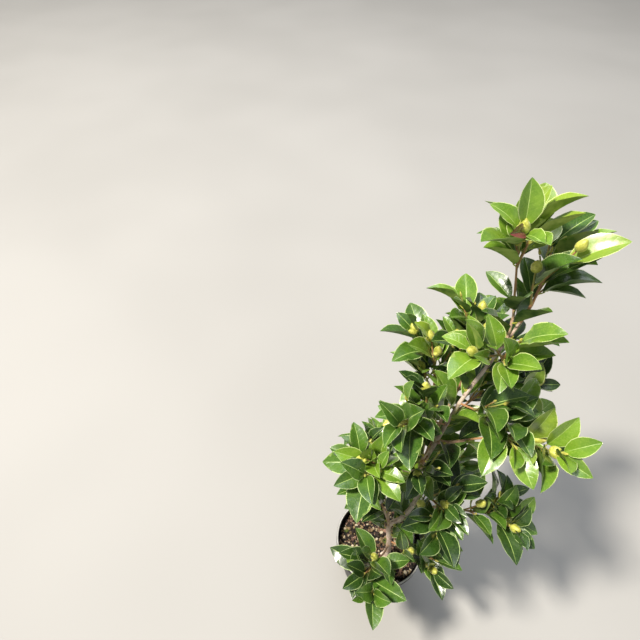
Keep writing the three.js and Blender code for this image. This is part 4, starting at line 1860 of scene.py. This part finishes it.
# Trunk and boughs
@dataclass
class BarkedLimbs:
    """Trunk and boughs with swollen nodes, split film bark and a flare where they join."""

    crown: Crown
    ring_mm: float = 1.6
    trunk_sides: int = 24
    bough_sides: int = 16
    node_mm: float = 17.0
    collar: float = 0.75
    collar_mm: float = 3.5
    lobe: float = 0.35  # how deep the root flare's lobes are, as a share of it
    swell: float = 0.2  # how much a node swells, as a share of the radius

    def swelling(self, along: float, turn: float, seed: int) -> float:
        """How much the bark swells at the nearest node, as a share of the radius.

        Args:
            along: How far from the limb's root.
            turn: The turn round it.
            seed: Varies its nodes.

        Returns:
            The share.
        """
        node = round(along / self.node_mm)
        offset = (along - node * self.node_mm - 2.5 * sin(node * 2.1 + seed)) / 1.7
        one_sided = 0.55 + 0.45 * cos(turn - node * GOLDEN_TURN)
        return self.swell * exp(-offset * offset) * one_sided

    def relief(self, place: Triple) -> float:
        """The bark's height at a place, in millimetres: plates drawn out along the stem.

        Args:
            place: The place.

        Returns:
            The height.
        """
        x, y, z = place
        plates = noise.noise(Vector((x, y, z * 0.3)) * 0.62) * 0.16
        return plates + noise.noise(Vector((x, y, z * 0.35)) * 1.5) * 0.09

    def build(self, limb: Limb, sides: int, seed: int) -> Object:
        """Models one limb.

        Args:
            limb: Its path and radii.
            sides: How many sides its rings have.
            seed: Varies its nodes.

        Returns:
            The limb, closed at both ends.
        """
        rings = max(12, int(limb.length / self.ring_mm))
        is_trunk = limb is self.crown.trunk
        frames = []
        first = cross_axes(limb.tangent_at(0))[0]
        for row in range(rings + 1):
            t = row / rings
            axis = limb.tangent_at(t)
            first = unit(plus(first, axis, -dot(first, axis)))
            frames.append((limb.point_at(t), first, cross(axis, first), limb.radius_at(t)))
        middles = np.array([entry[0] for entry in frames])
        lengths = np.concatenate([[0], np.cumsum(np.linalg.norm(np.diff(middles, axis=0), axis=1))])

        def place(column: int, row: int) -> Sequence[float]:
            """A point of the bark; the first and last rows close the ends.

            Args:
                column: The grid's column.
                row: The grid's row.

            Returns:
                The place in metres.
            """
            middle, one, other, radius = frames[min(max(row - 1, 0), rings)]
            if row in (0, rings + 2):
                return scaled(middle, MM)
            turn = 2 * pi * (column % sides) / sides
            along = float(lengths[row - 1])
            if is_trunk:
                flare = ROOT_FLARE * exp(-(middle[2] - SOIL_TOP) / ROOT_FLARE_HEIGHT)
                x, y = (one[i] * cos(turn) + other[i] * sin(turn) for i in (0, 1))
                radius += flare * (1 + self.lobe * cos(ROOT_LOBES * atan2(x, y)))
            else:
                offset = (along - self.crown.trunk.root_radius) / self.collar_mm
                radius *= 1 + self.collar * exp(-(offset**2))
            radius *= 1 + self.swelling(along, turn, seed)
            spot = plus(plus(middle, one, radius * cos(turn)), other, radius * sin(turn))
            out = 1 + self.relief(spot) / radius
            return scaled(plus(middle, minus(spot, middle), out), MM)

        thing = bent_grid(f"{limb.name}_bark", sides, rings + 2, place)
        smooth(thing, 70)
        return thing

    def dress(self) -> None:
        """Builds trunk and boughs and hands them over."""
        old = Bark("smooth grey camellia bark", "#dcc6b2", "#bf9f89", "#7c6153", "#eee3d2").build()
        young = Bark("one to three year bark", "#cfb095", "#b98c6b", "#7e5f49", "#e8d6b8", 0.25).build()
        dress(self.build(self.crown.trunk, self.trunk_sides, 0), ["trunk"], old)
        for seed, limb in enumerate(self.crown.boughs, start=1):
            dress(self.build(limb, self.bough_sides, seed), [limb.name], young)


# Foliage
@dataclass(frozen=True)
class LeafForm:
    """The shape of one leaf pattern, in shares of its length.

    fold is how far the margins stand over the midrib, recurve how far the tip dips, twist the turn of
    the tip in degrees, width the whole width, and wave the ripple of the margin.
    """

    fold: float
    recurve: float
    twist: float
    width: float
    wave: float

    BLADE_FROM = 0.09
    ROWS = (0.0, 0.035, 0.11, 0.22, 0.35, 0.5, 0.64, 0.77, 0.88, 0.96, 1.0)
    ACROSS = (-1.0, -0.52, -0.03, 0.03, 0.52, 1.0)
    RIB_SINK = 0.007
    RIB_DEPTH = 0.016
    WEARS = (0, 0, 1, 0, 0, 2, 2)  # blade, midrib and underside, strip by strip

    def half_width(self, share: float) -> float:
        """The half width at a share of the blade: round shoulders, drawn to a short point."""
        tip = max(0.0, (share - 0.8) / 0.2)
        return self.width / 2 * sin(pi * share) ** 0.7 * (1 - 0.32 * tip * tip)

    def rise(self, share: float, across: float) -> float:
        """The height of the upper face over the line from root to tip.

        Args:
            share: Share of the length.
            across: Share of the half width.

        Returns:
            The height.
        """
        out = abs(across)
        width = self.half_width(share)
        folded = self.fold / (self.width / 2) * width * (out - 0.16 * out**4)
        ripple = self.wave * sin(share * 17 + across * 1.3) * out * out * width
        arch = 0.35 * self.recurve * sin(pi * share) - self.recurve * share**2.4
        sunk = self.RIB_SINK * (1 - out) ** 8 * sin(pi * share)
        return folded + ripple + arch - sunk

    def model(self, name: str) -> Pattern:
        """Bends a small grid into the leaf: five strips over, two under, closed at root and tip.

        Args:
            name: What the modelled leaf is called.

        Returns:
            The pattern.
        """
        strips = len(self.ACROSS) + 1

        def place(column: int, row: int) -> Sequence[float]:
            """A point of the leaf.

            Args:
                column: The grid's column.
                row: The grid's row.

            Returns:
                The place in shares of the length.
            """
            share = self.ROWS[row]
            across = 0.0 if column == strips - 1 else self.ACROSS[column % strips]
            x, z = across * self.half_width(share), self.rise(share, across)
            if column == strips - 1:
                z -= self.RIB_DEPTH * sin(pi * min(1, share + 0.08))
            turn = radians(self.twist) * share * share
            if row in (0, len(self.ROWS) - 1):
                x, z = 0.0, self.rise(share, 0)
            y = mixed(self.BLADE_FROM, 1.0, share)
            return (x * cos(turn) - z * sin(turn) * 0.5, y, z + x * sin(turn))

        deselect()
        rows = len(self.ROWS) - 1
        bpy.ops.mesh.primitive_grid_add(x_subdivisions=strips, y_subdivisions=rows, size=2)
        leaf = named(name)
        across_map = [(a + 1) / 2 for a in self.ACROSS] + [0.5, 0.0]
        for corner, uv in zip(leaf.data.loops, leaf.data.uv_layers[0].data):
            point = leaf.data.vertices[corner.vertex_index].co
            column, row = on_grid(point, strips, rows)
            uv.uv = (across_map[column], self.ROWS[row])
        for _ in set(self.WEARS):
            leaf.data.materials.append(None)
        for face in leaf.data.polygons:
            face.material_index = self.WEARS[int((face.center.x + 1) / 2 * strips)]
        for point in leaf.data.vertices:
            point.co = place(*on_grid(point.co, strips, rows))
        with editing(leaf):
            bpy.ops.mesh.remove_doubles(threshold=1e-5)
            bpy.ops.mesh.normals_make_consistent(inside=False)
        return Pattern.from_object(leaf)


class Tint(Enum):
    """The tints that leaves come in: piece name, then skin, shade, vein, margin (partly painted light for
    the lit edge) and underside.
    """

    DEEP = ("deep_green_leaves", "#33521a", "#1e3811", "#5f7f35", "#b2c686", "#6f8848")
    MID = ("mid_green_leaves", "#4f7421", "#345819", "#7c993d", "#c2d48e", "#829a4d")
    BRIGHT = ("bright_green_leaves", "#769a2b", "#557c22", "#9db54c", "#cfde92", "#97ab54")
    FRESH = ("fresh_green_leaves", "#8da832", "#6c8a28", "#a8ba56", "#d9e298", "#a9b85f")
    GOLD = ("turning_leaves", "#d8c43c", "#bda438", "#e6dc80", "#d2b04a", "#cdb95e")
    BRONZE = ("bronze_new_leaves", "#7c3330", "#552629", "#a0604c", "#954f42", "#7d4640")


@dataclass
class LeafWork:
    """All leaves and their stalks, joined by tint."""

    crown: Crown
    seed: int = 91
    forms: tuple[LeafForm, ...] = (
        LeafForm(0.15, 0.08, 0, 0.50, 0.05),
        LeafForm(0.12, 0.13, 12, 0.52, 0.09),
        LeafForm(0.19, 0.10, -10, 0.47, 0.06),
        LeafForm(0.11, 0.17, -7, 0.53, 0.10),
        LeafForm(0.17, 0.04, 8, 0.47, 0.05),
        LeafForm(0.22, 0.14, 5, 0.46, 0.07),
    )
    swing: Triple = (0.3, 0.12, 0.12)  # how far a leaf may lean, lift and swing aside, in radians
    tries: int = 60
    widening: float = 1.4  # how much wider the last try's turns are than the first's
    shrinking: float = 0.2  # how much smaller the last try's leaf is
    sliding: float = 2.6  # how much longer its stalk is, in millimetres
    wood: BVHTree | None = None
    patterns: list[Pattern] = field(default_factory=list)
    laid: list[tuple[Triple, BVHTree]] = field(default_factory=list)
    outer: list[Leaf] = field(default_factory=list)
    crossing: int = 0

    GOLD_OVER = 0.992  # the draw over which a leaf no longer than this is turning
    GOLD_UP_TO = 46
    FRESH_OVER = 0.88  # the draw over which a bright leaf at a twig's tip is fresh
    STALK_END = (0.13, 0, -0.35)  # where the stalk meets the blade, on the leaf
    STALK_SAG = 0.3
    STALK_RADII = (0.85, 0.62, 0.42)

    def deal(self, chance: Chance) -> None:
        """Deals a tint to each spray by chance, leaning deeper for low masses and brighter for high ones.

        Args:
            chance: Draws the tints.
        """
        for mass in self.crown.masses:
            height = (mass.centre[2] - 120) / 420
            for spray in mass.sprays:
                draw = chance.next() * 0.75 + height * 0.3
                stem = isinstance(spray.twig, Limb) or spray.twig.order == 0
                if draw < 0.3:
                    spray.tint = Tint.DEEP
                elif draw < 0.62:
                    spray.tint = Tint.MID
                else:
                    spray.tint = Tint.BRIGHT if draw < 0.93 or stem else Tint.FRESH

    def outermost(self) -> list[Leaf]:
        """The leaves whose tips reach furthest each way and up."""
        ways = ((1, 0, 0), (-1, 0, 0), (0, 1, 0), (0, -1, 0), (0, 0, 1))
        return [max(self.crown.leaves, key=lambda leaf: dot(leaf.place(1, 0, 0), way)) for way in ways]

    def turn(self, leaf: Leaf, chance: Chance) -> tuple[Leaf, Pattern, np.ndarray]:
        """Turns a leaf about its stalk until its blade crosses as little as it can.

        The outermost leaves keep their place, because they make the plant's size.

        Args:
            leaf: The leaf as it grew.
            chance: Deals the patterns and the turns, each wider than the last.

        Returns:
            The turned leaf, its pattern and the pattern's points in place.
        """
        best, fewest = None, inf
        free = 0 if any(leaf is other for other in self.outer) else 1
        near = [tree for middle, tree in self.laid if apart(middle, leaf.middle[1]) < 2 * LEAF_LENGTH]
        for index in range(self.tries):
            pattern = self.patterns[int(chance.next() * len(self.patterns)) % len(self.patterns)]
            late = free * index / self.tries
            widest = free * (1 + self.widening * late)
            roll, pitch, yaw = (chance.between(-most, most) * widest for most in self.swing)
            turned = leaf.turned(roll, pitch, yaw, 1 - self.shrinking * late, self.sliding * late)
            axes = (scaled(turned.side, -1.0), turned.along, turned.face)
            points = placed(pattern.points, turned.root, axes, [turned.length] * 3)
            tree = BVHTree.FromPolygons((points * MM).tolist(), pattern.faces)
            crossed = sum(len(tree.overlap(other)) for other in (self.wood, *near))
            crossed += HIDING_COUNTS_AS * self.crown.hides_stem(turned)
            if crossed < fewest:
                best, fewest = (turned, pattern, points, tree), crossed
            if not crossed:
                break
        turned, pattern, points, tree = best
        self.laid.append((turned.middle[1], tree))
        self.crossing += fewest > 0
        return turned, pattern, points

    def lay(self, heap: Joined, stalks: Joined, leaf: Leaf, chance: Chance) -> None:
        """Lays one leaf and its stalk.

        Args:
            heap: The leaves of its tint.
            stalks: The stalks.
            leaf: The leaf as it grew.
            chance: Deals its pattern and its turn.
        """
        leaf, pattern, points = self.turn(leaf, chance)
        heap.add(pattern, points)
        start, end = leaf.joint, leaf.place(*self.STALK_END)
        middle = plus(scaled(plus(start, end), 0.5), leaf.face, -self.STALK_SAG)
        stalk = tube_pattern([start, middle, end], self.STALK_RADII, 6)
        stalks.add(stalk, stalk.points)

    def dress(self) -> None:
        """Builds all leaves and stalks and hands them over."""
        self.patterns = [form.model(f"leaf_form_{i}") for i, form in enumerate(self.forms)]
        self.patterns += [pattern.mirrored() for pattern in self.patterns]
        bark = [f"{limb.name}_bark" for limb in self.crown.limbs]
        twigs = ["stem_twigs", "side_twigs", "spur_twigs"]
        self.wood = search_tree(["pot_shell", "soil_bed", *bark, *twigs, "flower_buds"])
        chance = Chance(self.seed)
        self.deal(chance)
        self.outer = self.outermost()
        heaps = {tint: Joined(tint.value[0]) for tint in Tint}
        stalks = Joined("leaf_stalks")
        shoot_tip = max(self.crown.leaves, key=lambda leaf: leaf.root[2])
        for spray in self.crown.sprays:
            for leaf in spray.leaves:
                tint, draw = spray.tint, chance.next()
                if draw > self.GOLD_OVER and leaf.length < self.GOLD_UP_TO:
                    tint = Tint.GOLD
                elif leaf is shoot_tip:
                    tint = Tint.BRONZE
                elif draw > self.FRESH_OVER and leaf.share > 0.8 and tint is Tint.BRIGHT:
                    tint = Tint.FRESH
                self.lay(heaps[tint], stalks, leaf, chance)
        log.info("%d leaves still cross something", self.crossing)
        rib = PlainSkin("pale midrib", "#b3cb76", "#95b058", 0.4).build()
        for tint, heap in heaps.items():
            if not heap.faces:
                continue
            name, green, shade, vein, margin, under = tint.value
            plain = name.replace("_", " ")
            finishes = [
                LeafSkin(f"waxy skin of {plain}", green, shade, vein, margin).build(),
                rib,
                PlainSkin(f"underside of {plain}", under, shade, 0.5, 9.0).build(),
            ]
            dress(heap.make(finishes, 55), self.crown.names)
        stalk = PlainSkin("leaf stalk", "#cdcf5e", "#a3a742", 0.42).build()
        dress(stalks.make([stalk], 60), self.crown.names)


@dataclass
class TwigWork:
    """All twigs, joined by age."""

    crown: Crown
    sides: int = 8
    rings: int = 12

    def lay(self, heap: Joined, spray: Spray) -> None:
        """Lays one twig, swollen where its leaves grow, closed at its tip.

        Args:
            heap: The twigs of its age.
            spray: The twig with its leaves.
        """
        twig = spray.twig
        nodes = [leaf.share for leaf in spray.leaves]
        offset = minus(twig.inside, twig.start) if twig.inside and twig.order else (0.0, 0.0, 0.0)
        path, radii = [], []
        if twig.inside and not twig.order:
            path.append(twig.inside)
            radii.append(twig.root_radius)
        shares = {i / self.rings for i in range(self.rings + 1)}
        for t in sorted(shares | {node for node in nodes if 0.04 < node < 0.97}):
            swell = sum(exp(-(((t - node) * twig.length / 1.3) ** 2)) for node in nodes)
            path.append(plus(twig.point_at(t), offset, (1 - t) ** 6))
            collar = 0.5 * exp(-((t * twig.length / 3.0) ** 2)) if twig.order else 0.0
            radii.append(twig.radius_at(t) * (1 + 0.22 * min(1.0, swell) + collar))
        tube = tube_pattern(path, radii, self.sides)
        heap.add(tube, tube.points)

    def dress(self) -> None:
        """Builds the twigs of each age and hands them over."""
        heaps = {0: Joined("stem_twigs"), 1: Joined("side_twigs"), 2: Joined("spur_twigs")}
        for spray in self.crown.sprays:
            if isinstance(spray.twig, Twig):
                self.lay(heaps[min(2, spray.twig.order)], spray)
        finishes = {
            0: YoungStem("brown shoot skin", "#b3835a", "#a3955c", 0.62),
            1: YoungStem("browning shoot skin", "#b88a58", "#9ea057", 0.5),
            2: YoungStem("green spur skin", "#a89852", "#93a44c", 0.38),
        }
        for order, heap in heaps.items():
            dress(heap.make([finishes[order].build()], 60), self.crown.names)


@dataclass
class BudWork:
    """Flower buds with overlapping scales, and slim growth buds, each kind joined."""

    crown: Crown
    scales: int = 8

    FREE_FROM = -0.2  # the stretch of a bud, in shares of its length, that no blade may cross
    FREE_TO = 1.1

    def egg(self, turn: float, height: float, out: float) -> Triple:
        """A place on the bud: turn round it, share of its height, and how far off its skin."""
        girth = sin(pi * height**0.86) ** 0.72 * (1 - 0.16 * height) * 0.5
        return around(turn, girth + out, height)

    def scale(self, index: int) -> Object:
        """Models one scale of a flower bud.

        Args:
            index: Its place in the spiral, from the outer and lower ones inwards and up.

        Returns:
            The scale, closed under the core's skin and at its point.
        """
        rows = 5
        middle, low = index * GOLDEN_TURN, 0.02 + 0.05 * index
        high, lift = min(1.0, 0.42 + 0.09 * index), 0.055 - 0.004 * index

        def place(column: int, row: int) -> Sequence[float]:
            """A point of the scale; the last column goes back under the others.

            Args:
                column: The grid's column.
                row: The grid's row.

            Returns:
                The place.
            """
            if row == 0:
                return self.egg(middle, low, -0.03)
            if row == rows:
                return self.egg(middle, high, 0.012)
            share = (row - 1) / (rows - 1)
            across = (-1, -0.5, 0, 0.5, 1, 0)[column % 6]
            spread = 1.15 * (1 - share**2.2) + 0.03
            height = mixed(low, high, share) - 0.05 * abs(across) * share
            out = 0.004 if column % 6 == 5 else lift * (1 - 0.6 * abs(across) ** 2) + 0.006
            return self.egg(middle + across * spread, height, out)

        scale = bent_grid(f"bud_scale_{index}", 6, rows, place)
        for face in scale.data.polygons:
            face.material_index = 1 if face.center.z > mixed(low, high, 0.8) else 0
        return scale

    def flower_pattern(self) -> Pattern:
        """The bud of one unit's length and width: a core with pointed scales round it.

        Returns:
            The pattern.
        """
        sides, rows = 12, 8

        def core(column: int, row: int) -> Sequence[float]:
            """A point of the core.

            Args:
                column: The grid's column.
                row: The grid's row.

            Returns:
                The place.
            """
            height = row / rows
            if row in (0, rows):
                return (0.0, 0.0, height)
            return self.egg(2 * pi * (column % sides) / sides, height, 0.0)

        parts = [bent_grid("bud_core", sides, rows, core)]
        parts += [self.scale(index) for index in range(self.scales)]
        for part in parts:
            part.data.materials.append(None)
            part.data.materials.append(None)
        return Pattern.from_object(joined(parts[::-1], "flower_bud"))

    def growth_pattern(self) -> Pattern:
        """The slim bud of one unit's length and width, twisted like its folded scales.

        Returns:
            The pattern.
        """
        sides, rows = 7, 6

        def place(column: int, row: int) -> Sequence[float]:
            """A point of the bud.

            Args:
                column: The grid's column.
                row: The grid's row.

            Returns:
                The place.
            """
            height = row / rows
            if row in (0, rows):
                return (0.0, 0.0, height)
            turn = 2 * pi * (column % sides) / sides
            ridge = 0.06 * cos(2 * turn + 5 * height)
            girth = sin(pi * height**0.7) ** 0.8 * 0.5 + ridge * sin(pi * height)
            return around(turn, girth, height)

        return Pattern.from_object(bent_grid("growth_bud", sides, rows, place))

    def stays(self, bud: Bud, blades: BVHTree | None) -> bool:
        """True where no blade crosses a bud's free stretch.

        Args:
            bud: The bud.
            blades: The leaves, if they stand already.

        Returns:
            Whether none does.
        """
        if blades is None:
            return True
        start = Vector(plus(bud.root, bud.along, self.FREE_FROM * bud.length)) * MM
        reach = (self.FREE_TO - self.FREE_FROM) * bud.length * MM
        return blades.ray_cast(start, Vector(bud.along), reach)[0] is None

    def lay(self, pattern: Pattern, kind: BudKind, sink: float, blades: BVHTree | None) -> Joined:
        """Lays the buds of one kind.

        Args:
            pattern: The bud of one unit's length and width.
            kind: Which buds.
            sink: How far each starts inside its twig, in shares of its length.
            blades: The leaves that the buds keep out of, if they stand already.

        Returns:
            The joined buds.
        """
        heap = Joined(f"{kind.value}_buds")
        for bud in (bud for mass in self.crown.masses for bud in mass.buds):
            if bud.kind is kind and self.stays(bud, blades):
                first, second = cross_axes(bud.along)
                root = plus(bud.root, bud.along, -sink * bud.length)
                axes = (first, scaled(second, -1.0), bud.along)
                size = (bud.width, bud.width, bud.length)
                heap.add(pattern, placed(pattern.points, root, axes, size))
        return heap

    def dress_flower_buds(self) -> None:
        """Builds the flower buds and hands them over."""
        skins = [
            BudScale("silky bud scale", "#d5d366", "#a2a63c").build(),
            BudScale("pale scale tip", "#e4dfaa", "#bcab68").build(),
        ]
        buds = self.lay(self.flower_pattern(), BudKind.FLOWER, 0.12, None)
        dress(buds.make(skins, 50), self.crown.names)

    def dress_growth_buds(self) -> None:
        """Builds the slim buds between the leaves and hands them over."""
        skins = [BudScale("yellow growth bud scale", "#cdc95c", "#a9a046").build()]
        blades = search_tree([tint.value[0] for tint in Tint])
        buds = self.lay(self.growth_pattern(), BudKind.GROWTH, 0.0, blades)
        dress(buds.make(skins, 50), self.crown.names)


# Studio
@dataclass
class Studio:
    """Pale floor, soft high light from the camera's left, weak fill, and the photograph's camera."""

    camera_place: Triple = (-0.115, -0.235, 0.810)
    pitch_degrees: float = 43.0
    lens_mm: float = 27.06
    aim: Triple = (0.03, 0.02, 0.28)

    def floor(self) -> None:
        """A wide pale floor at the pot's underside."""
        deselect()
        bpy.ops.mesh.primitive_plane_add(size=8)
        floor = named("studio_floor")
        floor.data.materials.append(PaintedFloor("pale matt floor").build())

    def lamp(self, name: str, place: Triple, size: float, power: float, tone: str) -> None:
        """A soft lamp aimed at the plant.

        Args:
            name: Its name.
            place: Where it hangs, in metres.
            size: How wide it is, in metres.
            power: Its power in watts.
            tone: Its colour.
        """
        light = bpy.data.lights.new(name, "AREA")
        light.shape, light.size, light.energy = "DISK", size, power
        light.color = linear(tone)[:3]
        lamp = shown(name, light)
        lamp.location = place
        lamp.rotation_euler = (Vector(self.aim) - Vector(place)).to_track_quat("-Z", "Y").to_euler()

    def build(self) -> None:
        """Sets floor, lamps, sky and camera."""
        self.floor()
        self.lamp("key_lamp", (-2.7, -0.5, 4.9), 0.7, 480, "#fff8ee")
        self.lamp("sky_lamp", (0.3, 1.6, 3.6), 2.6, 62, "#f2f6ff")
        self.lamp("fill_lamp", (2.4, -2.0, 2.2), 2.4, 11, "#eef3ff")
        world = bpy.data.worlds.new("studio_sky")
        world.use_nodes = True
        world.node_tree.nodes.clear()
        sky = add_node(world.node_tree, "Background", ["#e9eef5", 0.36])
        add_node(world.node_tree, "OutputWorld", [sky])
        scene = bpy.context.scene
        scene.world = world
        scene.view_settings.view_transform = "Standard"
        lens = bpy.data.cameras.new("photo_camera")
        lens.sensor_width, lens.lens, lens.shift_x = 36.0, self.lens_mm, 0.035
        camera = shown("photo_camera", lens)
        camera.location = self.camera_place
        camera.rotation_euler = (radians(self.pitch_degrees), 0, 0)
        scene.camera = camera


def main() -> None:
    """Builds the studio and every sub-assembly in order."""
    logging.basicConfig(level=logging.INFO, format="%(name)s: %(message)s")
    Studio().build()
    crown = Crown()
    crown.grow()
    NurseryPot().dress()
    PottingSoil().dress()
    BarkedLimbs(crown).dress()
    TwigWork(crown).dress()
    buds = BudWork(crown)
    buds.dress_flower_buds()
    LeafWork(crown).dress()
    buds.dress_growth_buds()


if __name__ == "__main__":
    main()
